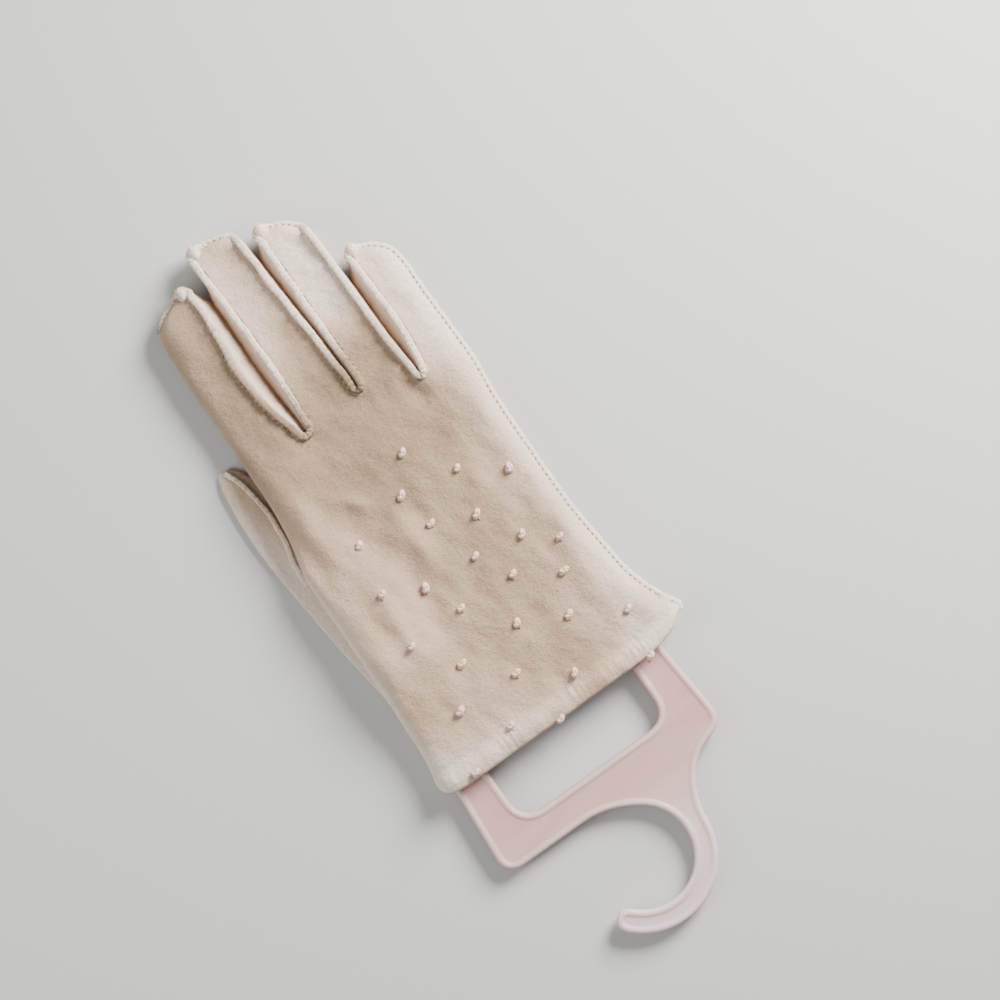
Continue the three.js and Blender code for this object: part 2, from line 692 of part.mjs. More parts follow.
// A line of points in plan moved to its left by a distance, keeping that distance round corners.
function offsetLine(line, distance, closed = false) {
  const n = line.length;
  const normalOf = (a, b) => new THREE.Vector2(a.y - b.y, b.x - a.x).normalize();
  return line.map((point, i) => {
    const before = closed ? line[(i + n - 1) % n] : line[Math.max(0, i - 1)];
    const after = closed ? line[(i + 1) % n] : line[Math.min(n - 1, i + 1)];
    const first = normalOf(before === point ? point : before, before === point ? after : point);
    const second = normalOf(after === point ? before : point, after);
    const along = first.clone().add(second).normalize();
    const reach = distance / Math.max(cornerLeast, along.dot(first));
    const [x, y] = [point.x + along.x * reach, point.y + along.y * reach];
    return { ...point, x, y, nx: along.x, ny: along.y };
  });
}

// A forked strip: its edges stand up beside the trank's, and between them it swells into the gap.
function makeFourchette(f) {
  const line = offsetLine(forkSeam(f), seamPair);
  const crotch = (line.length - 1) / 2;
  const sheet = new Sheet();
  const swellAt = (i) => {
    const [here, there] = [line[i], line[line.length - 1 - i]];
    const room = (there.x - here.x) * Math.sign(crotch - i || 1);
    return clamp(room / 2 - seamGap, swellLeast, sideSwell);
  };
  const crotchSwell = swellAt(crotch - 1);
  const rows = line.map((place, i) => {
    const { x, y, nx, ny, top, bottom } = place;
    const swell = i === crotch ? crotchSwell : swellAt(i);
    const steps = Array.from({ length: swellSteps + 1 }, (_, k) => ({
      z: mix(top, bottom, k / swellSteps),
      out: swell * Math.sin((Math.PI * k) / swellSteps),
    }));
    const raised = [{ z: top + seamStand, out: 0 }, ...steps, { z: bottom - seamStand, out: 0 }];
    return raised.map(({ z, out }) => sheet.point(x + nx * out, y + ny * out, z));
  });
  for (let i = 0; i + 1 < rows.length; i++) sheet.join(rows[i], rows[i + 1]);
  return sheet.thicken(cloth);
}

// The hole in the palm and in the thumb's upper cloth, through which the thumb goes in.
const holeRow = thumbRows[2];
const holeCentreX = thumbLine + ((holeRow.left + holeRow.right) / 2) * thumbWidth + thumbHoleShift;
const holeCentreY = cuffY + thumbFrom + thumbHoleFrom + thumbHoleLength / 2;
function thumbHole() {
  const shape = new THREE.Shape();
  const [r, half] = [thumbHoleWidth / 2, (thumbHoleLength - thumbHoleWidth) / 2];
  shape.absarc(holeCentreX, holeCentreY + half, r, 0, Math.PI);
  shape.absarc(holeCentreX, holeCentreY - half, r, Math.PI, 2 * Math.PI);
  const height = thumbHeight + seamGap + 2 * cloth;
  const prism = new THREE.ExtrudeGeometry(shape, { depth: height, bevelEnabled: false, curveSegments: 5 });
  return solidFrom(prism.translate(0, 0, thumbHoleBottom));
}

// How high the thumb reaches at its sides, as shares of its height: its upper and its lower cloth.
const thumbEdge = { top: 0.66, bottom: 0.34 };

// The raised seam of the thumb: a ridge from inside its wall, with sides that draw in towards the top. Its
// section is in shares of its width and of how far it stands.
const ridgeSection = [
  { out: -0.5, up: 0.5 },
  { out: -0.3, up: 1 },
  { out: 0.3, up: 1 },
  { out: 0.5, up: 0.5 },
];
function thumbRidge() {
  const sheet = new Sheet();
  const line = thumbSeam.map(({ at, across, stand }) => {
    const base = fromRows(thumbRows, "height", at) * thumbHeight;
    return { x: thumbLine + across * thumbWidth, y: cuffY + thumbFrom + at * thumbLength, base, stand };
  });
  const rows = offsetLine(line, 0).map(({ x, y, nx, ny, base, stand }) => {
    const place = (out, z) => sheet.point(x + nx * out * thumbSeamWidth, y + ny * out * thumbSeamWidth, z);
    const upper = ridgeSection.map(({ out, up }) => place(out, base + up * stand));
    const foot = base - 0.5 * thumbWall;
    const ring = [place(-0.5, foot), ...upper, place(0.5, foot)];
    return [...ring, ring[0]];
  });
  for (let i = 0; i + 1 < rows.length; i++) sheet.join(rows[i], rows[i + 1]);
  sheet.cap(rows[0].slice(1));
  sheet.cap(rows[rows.length - 1].slice(1).reverse());
  return solidOf(sheet.points, sheet.faces);
}

// The thumb: a flat closed bag, open at the hole. Its top stays clear of the palm above it.
function makeThumb() {
  const sheet = new Sheet();
  const rows = thumbRows.map(({ at, left, right, height }) => {
    const y = cuffY + thumbFrom + at * thumbLength;
    const places = Array.from({ length: thumbRing }, (_, k) => {
      const across = (1 - Math.cos((Math.PI * k) / (thumbRing - 1))) / 2;
      return thumbLine + mix(left, right, across) * thumbWidth;
    });
    const tall = height * thumbHeight;
    const atSide = (k) => k === 0 || k === thumbRing - 1;
    const top = places.map((x, k) => {
      const under = x > edgeLeft((y - cuffY) / palmLength) ? liftAt(x, y) - seamGap : tall;
      return [x, Math.min(tall * (atSide(k) ? thumbEdge.top : 1), under)];
    });
    const bottom = places.map((x, k) => [x, atSide(k) ? thumbEdge.bottom * tall : 0]).reverse();
    return [...top, ...bottom].map(([x, z]) => sheet.point(x, y, z));
  });
  const ringed = rows.map((row) => [...row, row[0]]);
  for (let i = 0; i + 1 < ringed.length; i++) sheet.join(ringed[i + 1], ringed[i]);
  sheet.cap([...rows[0]].reverse());
  sheet.cap(rows[rows.length - 1]);
  return solidOf(sheet.points, sheet.faces)
    .add(thumbRidge())
    .subtract(solidOf(sheet.innerPoints(thumbWall), sheet.faces))
    .subtract(thumbHole());
}

// The hanger's outline: legs inside the cuff, bar, and a hook that opens to the thumb's side.
const hangerLeft = -0.565 * palmWidth;
const hangerRight = hangerLeft + hangerWidth;
const barInnerY = cuffY - barFromCuff;
const barOuterY = barInnerY - barHeight;
const farY = cuffY + hangerInside;
const hookX = (hangerLeft + hangerRight) / 2 - hookShift;
const hookY = barOuterY - hookFromBar;
const hookOuterRadius = hookInnerRadius + hookWidth;

// A rounded corner as an arc between two straight edges of a shape.
function roundTo(shape, x, y, nextX, nextY, radius) {
  const from = new THREE.Vector2(shape.currentPoint.x - x, shape.currentPoint.y - y).setLength(radius);
  const to = new THREE.Vector2(nextX - x, nextY - y).setLength(radius);
  shape.lineTo(x + from.x, y + from.y);
  shape.quadraticCurveTo(x, y, x + to.x, y + to.y);
}

function hangerOutline() {
  const shape = new THREE.Shape();
  shape.moveTo(hookX, barOuterY);
  roundTo(shape, hangerLeft, barOuterY, hangerLeft + hangerTaper, farY, hangerCorner);
  roundTo(shape, hangerLeft + hangerTaper, farY, hangerRight - hangerTaper, farY, hangerCorner);
  roundTo(shape, hangerRight - hangerTaper, farY, hangerRight, barOuterY, hangerCorner);
  const neckX = hangerRight - hangerWidth / 4;
  roundTo(shape, hangerRight, barOuterY, neckX, barOuterY - neckDrop / 2, hangerCorner);
  const outerX = hookX + hookOuterRadius;
  shape.quadraticCurveTo(outerX + neckDrop / 2, barOuterY - 0.65 * neckDrop, outerX, hookY);
  shape.absarc(hookX, hookY, hookOuterRadius, 0, -hookEnd * rad, true);
  const middle = hookInnerRadius + hookWidth / 2;
  const [tipX, tipY] = [hookX + Math.cos(hookEnd * rad) * middle, hookY - Math.sin(hookEnd * rad) * middle];
  shape.absarc(tipX, tipY, hookWidth / 2, -hookEnd * rad, -hookEnd * rad - Math.PI, true);
  shape.absarc(hookX, hookY, hookInnerRadius, -hookEnd * rad, hookStart * rad, false);
  shape.quadraticCurveTo(hookX + 1.4 * hookShift, barOuterY, hookX, barOuterY);
  return shape;
}

function hangerWindow() {
  const [left, right] = [hangerLeft + legWidth, hangerRight - legWidth];
  const [low, high] = [barInnerY, farY - farBarHeight];
  const shape = new THREE.Path();
  shape.moveTo((left + right) / 2, low);
  roundTo(shape, right, low, right, high, windowCorner);
  roundTo(shape, right, high, left, high, windowCorner);
  roundTo(shape, left, high, left, low, windowCorner);
  roundTo(shape, left, low, right, low, windowCorner);
  return shape;
}

// A ring or plate between an outline and its holes, standing from one height to another.
function plate(outline, holes, from, to) {
  const shape = new THREE.Shape(outline.map((p) => new THREE.Vector2(p.x, p.y)));
  shape.holes = holes.map((hole) => new THREE.Path(hole.map((p) => new THREE.Vector2(p.x, p.y))));
  const slab = new THREE.ExtrudeGeometry(shape, { depth: to - from, bevelEnabled: false });
  return solidFrom(slab.translate(0, 0, from));
}

function pointsOf(path, divisions) {
  const points = path.getPoints(divisions);
  const kept = points.filter((p, i) => i === 0 || p.distanceTo(points[i - 1]) > samePoint);
  if (kept[0].distanceTo(kept[kept.length - 1]) < samePoint) kept.pop();
  return THREE.ShapeUtils.isClockWise(kept) ? kept.reverse() : kept;
}

function makeHanger() {
  const low = hemThickness + seamGap;
  const high = low + hangerThickness;
  const outline = pointsOf(hangerOutline(), hookDivisions);
  const window = pointsOf(hangerWindow(), cornerDivisions);
  const [foot, bead] = [high - 0.5 * rimHeight, high + rimHeight];
  return plate(outline, [window], low, high)
    .add(plate(outline, [offsetLine(outline, rimWidth, true)], foot, bead))
    .add(plate(offsetLine(window, -rimWidth, true), [window], foot, bead));
}

// A knot: a low bun of thread, flat below. Its profile is in shares of the knot's width and height.
const knotProfile = [
  { radius: 0, height: 0 },
  { radius: 0.36, height: 0 },
  { radius: 0.5, height: 0.35 },
  { radius: 0.34, height: 0.82 },
  { radius: 0, height: 1 },
];
function makeKnot() {
  const profile = knotProfile.map(
    ({ radius, height }) => new THREE.Vector2(radius * knotWidth, height * knotHeight),
  );
  const bun = new THREE.LatheGeometry(profile, knotSides).rotateX(Math.PI / 2);
  return geometryOf(solidFrom(bun));
}

const material = (color, roughness) => new THREE.MeshStandardMaterial({ color, roughness, metalness: 0 });
const trankCloth = material(0xd9ccbc, 0.92);
const fourchetteCloth = material(0xc9b2a0, 0.92);
const thumbCloth = material(0xd4c6b2, 0.92);
const knotThread = material(0xe6cfc4, 0.8);
const hangerPlastic = material(0xe9c9c4, 0.38);

const glove = new THREE.Group();
function addPiece(name, geometry, finish) {
  const mesh = new THREE.Mesh(geometry, finish);
  mesh.name = name;
  glove.add(mesh);
  return mesh;
}

const trankSolid = makeTrank().subtract(thumbHole());
const trank = addPiece("trank", geometryOf(trankSolid), trankCloth);
for (let f = 0; f < lastFinger; f++) {
  const name = `fourchette_${fingers[f].name}_${fingers[f + 1].name}`;
  addPiece(name, geometryOf(makeFourchette(f)), fourchetteCloth);
}
addPiece("thumb", geometryOf(makeThumb()), thumbCloth);
addPiece("hanger", geometryOf(makeHanger()), hangerPlastic);

// Each knot sits on the highest cloth under its foot, which is looked for from well above the glove.
const down = new THREE.Vector3(0, 0, -1);
const caster = new THREE.Raycaster();
const clothUnder = (x, y) => {
  caster.set(new THREE.Vector3(x, y, 3 * palmHeight), down);
  return caster.intersectObject(trank)[0]?.point.z ?? -Infinity;
};
const footSpots = Array.from({ length: 8 }, (_, k) => {
  const angle = (k * Math.PI) / 4;
  return { dx: (Math.cos(angle) * knotWidth) / 2, dy: (Math.sin(angle) * knotWidth) / 2 };
});
knots.forEach(({ at, across }, i) => {
  const [x, y] = [across * palmWidth, cuffY + at * palmLength];
  const spots = [{ dx: 0, dy: 0 }, ...footSpots].map(({ dx, dy }) => clothUnder(x + dx, y + dy));
  const knot = addPiece(`knot_${String(i + 1).padStart(2, "0")}`, makeKnot(), knotThread);
  knot.position.set(x, y, Math.max(...spots) + seamGap);
});

export default glove;
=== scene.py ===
"""A wrist length dress glove, lying palm down, on the flat plastic hanger that keeps its cuff open.

Shapes are worked out in millimetres and put into the meshes in metres. +Y runs from the cuff to the
fingertips, +X to the little finger, +Z up from the surface that the glove lies on.
"""

import bmesh
import bpy
import numpy as np
from bpy.props import FloatProperty, FloatVectorProperty, IntProperty, PointerProperty
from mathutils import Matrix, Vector
from mathutils.geometry import tessellate_polygon


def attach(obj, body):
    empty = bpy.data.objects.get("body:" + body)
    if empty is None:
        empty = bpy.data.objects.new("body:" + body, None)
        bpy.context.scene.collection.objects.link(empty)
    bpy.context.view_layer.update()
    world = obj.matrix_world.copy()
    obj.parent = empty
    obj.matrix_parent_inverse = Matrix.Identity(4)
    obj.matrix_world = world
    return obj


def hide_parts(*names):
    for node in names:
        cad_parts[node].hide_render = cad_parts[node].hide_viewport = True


bl_info = {
    "name": "Dress Glove on a Hanger",
    "version": (1, 0, 0),
    "blender": (4, 5, 0),
    "location": "View3D > Sidebar > Glove",
    "description": "Builds the cloth, seams, stitches, knots and hanger of a wrist length dress glove",
    "category": "Object",
}

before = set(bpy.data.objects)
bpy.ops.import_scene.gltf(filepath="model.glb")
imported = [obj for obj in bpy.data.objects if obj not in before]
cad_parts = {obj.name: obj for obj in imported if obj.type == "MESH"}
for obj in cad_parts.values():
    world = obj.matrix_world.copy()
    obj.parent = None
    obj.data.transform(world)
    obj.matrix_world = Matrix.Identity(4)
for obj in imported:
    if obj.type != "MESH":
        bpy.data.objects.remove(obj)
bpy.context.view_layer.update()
MM = 0.001

# Heights and lengths of the glove, in millimetres. The cuff's edge lies half a hem before the origin.
HEM_DEPTH = 9.0
HEM_THICKNESS = 2.5
CUFF_Y = -HEM_DEPTH / 2
PALM_WIDTH = 97.0
PALM_LENGTH = 132.0
ROOT_Y = CUFF_Y + PALM_LENGTH
CUFF_HEIGHT = 12.6
CUFF_SIDE = 6.1
PALM_HEIGHT = 12.8
FINGER_HEIGHT = 11.5
FINGER_CROWN = 0.9
FINGER_SAG = 0.65
UPPER_ROUND = 7.0
LOWER_ROUND = 4.4
SEAM_PAIR = 2.3
SEAM_STAND = 1.8
TIP_LENGTH = 9.0
FINGER_BOTTOM = SEAM_STAND - FINGER_CROWN
FINGER_SIDE = (FINGER_HEIGHT + FINGER_BOTTOM) / 2

# What the back (1) and the palm's side (-1) have of their own: the round at the side edges, the height of a
# finger's flat, and how much further from the middle height the cloth stands at the seams.
ROUND = {1: UPPER_ROUND, -1: LOWER_ROUND}
FLAT = {1: FINGER_HEIGHT, -1: FINGER_BOTTOM}
STAND_OUT = {1: FINGER_SAG, -1: FINGER_CROWN}

# Shares of the palm's length: where the back has risen to its full height, where it starts to fall to the
# fingers, and where its lines start to bend to them.
RISEN = 0.4
FALL_FROM = 0.82
BEND_FROM = 0.85

# How far the cuff's edge is drawn up in the middle, at the outseam and at the fold.
CUFF_BOW = 0.5
OUTSEAM_CORNER = 7.0
FOLD_CORNER = 2.6

# The hem's sewing on the back: pitch, depth of the groove and of the puckers, and how full the hem is.
HEM_STITCH = 2.5
HEM_GROOVE = 0.5
HEM_PUCKER = 0.3
HEM_FULL = 0.75

# The cloth gathered where two seams cross at a fingertip: how far it is drawn out, how wide its dome is, how
# far in the dome lies and how far the tip rises there.
EAR = 0.4
EAR_WIDTH = 4.6
EAR_IN = 1.2
EAR_RISE = 3.0

# The step from one section of a raised seam to the next, and how far its line and its ears are softened.
STEP = 0.45
LINE_SOFT = 0.7 / STEP
EAR_SOFT = 1.4 / STEP

# Up to this lean, in radians, a seam counts as standing up. The thumb's seam is sunk a little into its
# cloth. A seam is a little fuller than its stand, each stitch draws it in, and its foot lies this far out.
STANDING_LEAN = 1.2
SEAM_SUNK = 0.25
SEAM_FULL = 1.08
SEAM_DRAWN = 0.3
SEAM_FOOT = 0.15

# The unevenness of the back's cloth: height, wavelength and seed of each field.
CLOTH_WAVES = [(0.28, 26.0, 3), (0.15, 9.0, 4), (0.04, 4.0, 6)]

# A stitch lies this far up a seam and beside its foot. Threads are round.
STITCH_UP = 0.5
STITCH_ASIDE = 0.34
STITCH_RADIUS = 0.26

# A knot is drawn out along its long side, which is turned by about this many degrees, give or take. Its
# thread's radius is a share of its width, and two thin dark ends lie beside it at these angles, towards the
# thumb's side and the cuff, away from the key light, where they stand for the knot's painted shadow as well
# as for thread ends.
KNOT_LONG = 1.3
KNOT_NARROW = 0.8
KNOT_TURN = (25, 20)
KNOT_THREAD = 0.2
TAIL_ANGLES = (200, 245)
TAIL_SPREAD = 18
TAIL_RADIUS = 0.34


def table(columns, *rows):
    """A table's rows as dictionaries, from the names of its columns and its rows of numbers."""
    return [dict(zip(columns.split(), row)) for row in rows]


# The palm's side edges: shares of its length from the cuff's edge and of its width from the centre line.
PALM_EDGES = table(
    "at left right",
    (0.0, -0.574, 0.549), (0.034, -0.579, 0.56), (0.087, -0.565, 0.531), (0.14, -0.557, 0.505),
    (0.216, -0.552, 0.474), (0.292, -0.546, 0.46), (0.481, -0.537, 0.44), (0.708, -0.529, 0.444),
    (0.784, -0.505, 0.446), (0.86, -0.487, 0.452), (1.0, -0.476, 0.462),
)

# The fingers from the thumb's side outwards. root and slant are shares of the width, rounds is how round the
# tip's left and right corners are, and meets is where across the gap the side strips meet. The rows hold how
# far the seams leave a straight lane, as shares of the width.
FINGERS = [
    {
        "name": "index", "width": 18.3, "length": 67.5, "gap": 11.3, "root": 0.13, "slant": 0.19,
        "rounds": (0.2, 0.16), "meets": 0.62,
        "rows": table(
            "at left right",
            (0.0, -0.02, 0.2), (0.25, 0.0, -0.02), (0.5, 0.0, -0.085), (0.75, 0.035, 0.03),
            (1.0, 0.08, 0.05),
        ),
    },
    {
        "name": "middle", "width": 16.2, "length": 74.5, "gap": 7.1, "root": 0.42, "slant": -0.05,
        "rounds": (0.03, 0.22), "meets": 0.1,
        "rows": table(
            "at left right",
            (0.0, -0.08, 0.09), (0.25, 0.01, 0.05), (0.5, 0.02, -0.02), (0.75, -0.02, -0.08),
            (1.0, -0.06, -0.1),
        ),
    },
    {
        "name": "ring", "width": 13.9, "length": 71.0, "gap": 9.1, "root": 0.1, "slant": -0.18,
        "rounds": (0.03, 0.3), "meets": 0.06,
        "rows": table(
            "at left right",
            (0.0, -0.02, 0.12), (0.25, 0.0, 0.01), (0.5, 0.0, 0.01), (0.75, 0.01, -0.01), (1.0, 0.0, -0.03),
        ),
    },
    {
        "name": "little", "width": 12.3, "length": 49.8, "gap": 0.0, "root": -0.2, "slant": -0.24,
        "rounds": (0.03, 0.34),
        "rows": table(
            "at left right",
            (0.0, -0.2, 0.05), (0.25, -0.02, 0.04), (0.5, 0.01, 0.02), (0.75, -0.02, 0.04),
            (1.0, -0.03, 0.03),
        ),
    },
]
LAST = len(FINGERS) - 1

# The crotches' places beyond the palm, as shares of its length, and how deep they dip.
CROTCHES = [0.019, 0.038, -0.03]
WEB_DROP = 2.0

# How much of a finger's slant its tip keeps, and how far the middle of the tip swells out.
TIP_SLANT = 0.22
TIP_SWELL = 0.8

# The side strip beside the index finger ends here across the hand. It opens wider and faces the key light, so
# it
# is painted paler: painted light.
FIRST_STRIP = -22.0

# The thumb lies flattened, partly under the palm, and lifts it.
THUMB_LENGTH = 102.0
THUMB_WIDTH = 26.0
THUMB_HEIGHT = 3.1
THUMB_LINE = -0.536 * PALM_WIDTH
THUMB_FROM = CUFF_Y + 41.0
THUMB_GAP = 0.3
LIFT_ACROSS = (-0.345 * PALM_WIDTH, -0.175 * PALM_WIDTH)
LIFT_ALONG = [THUMB_FROM + share * THUMB_LENGTH for share in (-0.17, 0.12, 0.86, 1.14)]
THUMB_ROWS = table(
    "at left right height",
    (0.0, -0.05, 0.22, 0.68), (0.1, -0.1, 0.56, 0.86), (0.22, -0.16, 0.72, 1.0), (0.38, -0.22, 0.75, 1.0),
    (0.54, -0.27, 0.7, 1.0), (0.68, -0.3, 0.58, 1.0), (0.8, -0.29, 0.44, 1.0), (0.9, -0.25, 0.28, 1.0),
    (0.96, -0.21, 0.16, 0.9), (1.0, -0.15, 0.04, 0.68),
)

# The hole in the palm that the thumb is sewn into, and the soft dent in the thumb's upper face.
THUMB_HOLE = (-43.2, 68.5)
THUMB_HOLE_HALF = (5.0, 15.5)
THUMB_DENT = {"x": -54.5, "y": 104.0, "reach": 12.0, "width": 2.4, "depth": 0.35}

# The thumb's raised seam: shares of its length and of its width from its line, and how far it stands.
THUMB_SEAM = table(
    "at across stand",
    (0.0, -0.02, 0.0), (0.58, 0.0, 0.8), (0.65, 0.07, 1.5), (0.72, 0.11, 1.7), (0.79, 0.125, 1.7),
    (0.86, 0.1, 1.7), (0.92, 0.065, 1.7), (0.965, 0.01, 1.7), (0.995, -0.06, 1.2),
)

# Soft dents (positive) and swellings of the back: middle, reach along and across in millimetres, the turn of
# its long side from the hand's axis in degrees, and the depth in millimetres.
FOLDS = table(
    "x y reach width turn depth",
    (-45.5, 95.0, 15.0, 3.2, 0, 1.6), (-38.0, 98.0, 17.0, 3.4, 0, -1.1), (-25.5, 89.0, 22.0, 5.0, 16, 2.2),
    (-11.0, 78.0, 16.0, 3.2, 6, -1.4), (-20.0, 101.0, 8.0, 2.8, 45, -1.5), (-4.0, 86.0, 9.0, 3.0, 0, 0.9),
    (-39.0, 58.0, 12.0, 3.6, -4, 0.8), (-33.0, 58.0, 13.0, 3.6, -4, -1.2),
    (-22.0, 50.0, 18.0, 4.5, -6, 1.0), (8.0, 33.2, 1.3, 34.0, 0, 0.28), (14.0, 29.6, 1.3, 30.0, 0, 0.24),
    (-24.0, 67.5, 1.3, 15.0, 3, 0.28), (-26.0, 64.2, 1.3, 15.0, 3, 0.24), (-21.0, 126.0, 4.5, 8.0, 0, 1.6),
    (2.5, 130.0, 4.0, 6.0, 0, 1.3), (21.0, 119.0, 5.0, 4.5, 0, 2.2), (12.0, 113.0, 18.0, 7.0, 8, 0.6),
    (27.0, 85.0, 30.0, 3.6, 0, 0.7), (34.0, 60.0, 50.0, 6.0, 0, -0.6), (-12.0, 25.0, 22.0, 9.0, 8, 0.6),
    (24.0, 28.0, 20.0, 6.0, 6, 0.7), (-44.0, 30.0, 20.0, 4.0, 0, -0.5),
)

# Where the cloth is painted darker and yellower (positive) or paler: partly the cloth's real yellowing and
# pale places, partly painted shade (darker on the index finger, at the finger roots and in the hollow below
# the ring finger's crotch) and painted light (paler on the thumb, the fingertips, the little finger's side,
# the hem's roll and the cuff's corner). Columns: middle, reach along and across, and how much.
AGE_AND_PAINTED_LIGHT = table(
    "x y reach width amount",
    (-36.0, 160.0, 44.0, 13.0, 1.0), (-10.0, 122.0, 28.0, 34.0, 1.0), (12.0, 138.0, 16.0, 12.0, 0.7),
    (9.0, 62.0, 70.0, 25.0, 0.65), (-7.0, 155.0, 25.0, 6.0, 0.5), (21.0, 120.0, 5.0, 4.5, 0.7),
    (-61.0, 95.0, 60.0, 10.0, -1.1), (-54.5, 45.0, 50.0, 4.5, -1.0), (-12.0, 182.0, 34.0, 12.0, -0.6),
    (15.0, 182.0, 34.0, 14.0, -1.0), (42.0, 150.0, 42.0, 15.0, -1.0), (44.0, 50.0, 80.0, 13.0, -0.8),
    (0.0, 2.0, 5.5, 90.0, -0.6), (-46.0, 0.0, 14.0, 14.0, -0.3),
)

# Where the knots are sewn on the back, in millimetres.
KNOTS = [
    (3.2, 106.3), (-6.0, 94.0), (16.2, 90.5), (-28.3, 88.0), (-3.1, 79.8), (31.2, 79.8), (12.2, 73.0),
    (-31.8, 69.5), (-17.8, 62.0), (3.2, 61.0), (21.2, 58.0), (-33.8, 48.0), (-11.8, 49.0), (10.5, 48.0),
    (31.7, 49.3), (-23.3, 32.5), (1.5, 33.0), (25.7, 38.5), (-33.3, 19.0), (-9.3, 18.5), (18.2, 24.5),
    (36.7, 14.0), (-21.8, 4.5), (7.7, 6.5), (-41.5, -2.0), (-5.8, -3.9), (33.2, -4.3),
]

# The hanger, in millimetres: OUT and IN are how far from the cuff's edge its near and its far bar lie, ASIDE
# is a share of the hook's radius, START and END are degrees round the hook, and NECK is a share of its drop.
HANGER_WIDTH = 96.6
HANGER_LEFT = -0.565 * PALM_WIDTH
HANGER_RIGHT = HANGER_LEFT + HANGER_WIDTH
HANGER_TAPER = 4.6
HANGER_OUT = 22.0
HANGER_IN = 23.0
LEG_WIDTH = 16.4
BAR_WIDTH = 13.0
FAR_BAR = 9.0
BAR_INNER_Y = CUFF_Y - HANGER_OUT
BAR_OUTER_Y = BAR_INNER_Y - BAR_WIDTH
HANGER_FAR_Y = CUFF_Y + HANGER_IN
HANGER_CORNER = 8.0
WINDOW_CORNER = 9.0
HOOK_INNER = 18.8
HOOK_WIDTH = 8.6
HOOK_DROP = 22.6
HOOK_ASIDE = 0.24
HOOK_X = (HANGER_LEFT + HANGER_RIGHT) / 2 - HOOK_ASIDE * HOOK_INNER
HOOK_Y = BAR_OUTER_Y - HOOK_DROP
HOOK_START = 58.0
HOOK_END = 138.0
NECK = 0.35
SHOULDER = 10.0
HANGER_THICKNESS = 3.2
HANGER_CLEARANCE = 0.3
HANGER_LOW = HEM_THICKNESS + HANGER_CLEARANCE
HANGER_HIGH = HANGER_LOW + HANGER_THICKNESS
OUTLINE_STEP = 0.8

# The photograph's view: straight from above, turned, with the picture's middle over a point in the frame.
VIEW_X, VIEW_Y = 22.06, 72.44
VIEW_TURN = -35.5
VIEW_FIELD = 357.1
LENS = 100.0
SENSOR = 36.0

# Each light's name, place from the view's middle and size in metres, power in watts and colour.
LIGHTS = [
    ("key_light", (0.64, 0.2, 0.44), 0.42, 24.5, (1.0, 0.98, 0.95)),
    ("fill_light", (-0.8, 0.1, 0.55), 0.8, 6.5, (1.0, 0.98, 0.96)),
    ("top_light", (0.1, 0.1, 1.5), 1.2, 1.6, (1.0, 1.0, 1.0)),
]
SKY = (0.92, 0.94, 0.96, 1.0)
SKY_STRENGTH = 0.22
FLOOR_HALF = 4000.0


def smooth(low, high, value):
    """Nought below low, one above high and 3t^2 - 2t^3 between them."""
    t = np.clip((value - low) / (high - low), 0.0, 1.0)
    return t * t * (3.0 - 2.0 * t)


def mix(a, b, t):
    """a where t is nought, b where it is one, in a straight line between."""
    return a + (b - a) * t


def curve(table, column, at):
    """A column of a table at any places: a cubic from row to row, whose slope at a row is that between its
    neighbours."""
    places = np.array([row["at"] for row in table])
    values = np.array([row[column] for row in table])
    last = len(places) - 1
    rows = np.arange(last + 1)
    before, after = np.maximum(rows - 1, 0), np.minimum(rows + 1, last)
    slopes = (values[after] - values[before]) / (places[after] - places[before])
    at = np.asarray(at, float)
    i = np.clip(np.searchsorted(places, at, side="right") - 1, 0, last - 1)
    h = places[i + 1] - places[i]
    t = np.clip((at - places[i]) / h, 0.0, 1.0)
    return (
        (2 * t**3 - 3 * t**2 + 1) * values[i]
        + (t**3 - 2 * t**2 + t) * h * slopes[i]
        + (3 * t**2 - 2 * t**3) * values[i + 1]
        + (t**3 - t**2) * h * slopes[i + 1]
    )


def ripple(x, y, wavelength, seed, waves=14):
    """A soft random field of about one: a sum of plane waves with lengths round the given one, in all
    directions."""
    rng = np.random.default_rng(seed)
    angle = rng.uniform(0, 2 * np.pi, waves)
    number = 2 * np.pi / (wavelength * rng.uniform(0.6, 1.7, waves))
    phase = rng.uniform(0, 2 * np.pi, waves)
    x, y = np.asarray(x)[..., None], np.asarray(y)[..., None]
    return np.cos(number * (np.cos(angle) * x + np.sin(angle) * y) + phase).sum(-1) / np.sqrt(waves / 2)


def unit(vectors):
    """Vectors at a length of one."""
    return vectors / np.linalg.norm(vectors, axis=-1, keepdims=True)


def bell(points):
    """The weights of a bell shaped mean over three times that many points to each side."""
    reach = int(3 * points)
    weights = np.exp(-0.5 * (np.arange(-reach, reach + 1) / points) ** 2)
    return weights / weights.sum()


def spot(patch, x, y):
    """A bell shaped spot, exp(-run^2 - side^2), drawn out along a long side that may be turned."""
    turn = np.radians(patch.get("turn", 0))
    dx, dy = x - patch["x"], y - patch["y"]
    run = (dx * -np.sin(turn) + dy * np.cos(turn)) / patch["reach"]
    side = (dx * np.cos(turn) + dy * np.sin(turn)) / patch["width"]
    return np.exp(-(run**2) - side**2)


def lift_at(x, y):
    """How far the thumb below raises the palm: a smooth step across times a rise and a fall along the
    hand."""
    across = 1.0 - smooth(LIFT_ACROSS[0], LIFT_ACROSS[1], x)
    rise = smooth(LIFT_ALONG[0], LIFT_ALONG[1], y)
    fall = 1.0 - smooth(LIFT_ALONG[2], LIFT_ALONG[3], y)
    return (THUMB_HEIGHT + THUMB_GAP) * across * rise * fall


def folds_at(x, y):
    """The back's dents and swellings: bell shaped mounds, long and narrow, plus a fine unevenness of the
    cloth."""
    depth = np.zeros(np.broadcast(x, y).shape)
    for fold in FOLDS:
        depth += fold["depth"] * spot(fold, x, y)
    for height, wavelength, seed in CLOTH_WAVES:
        depth += height * ripple(x, y, wavelength, seed)
    return depth


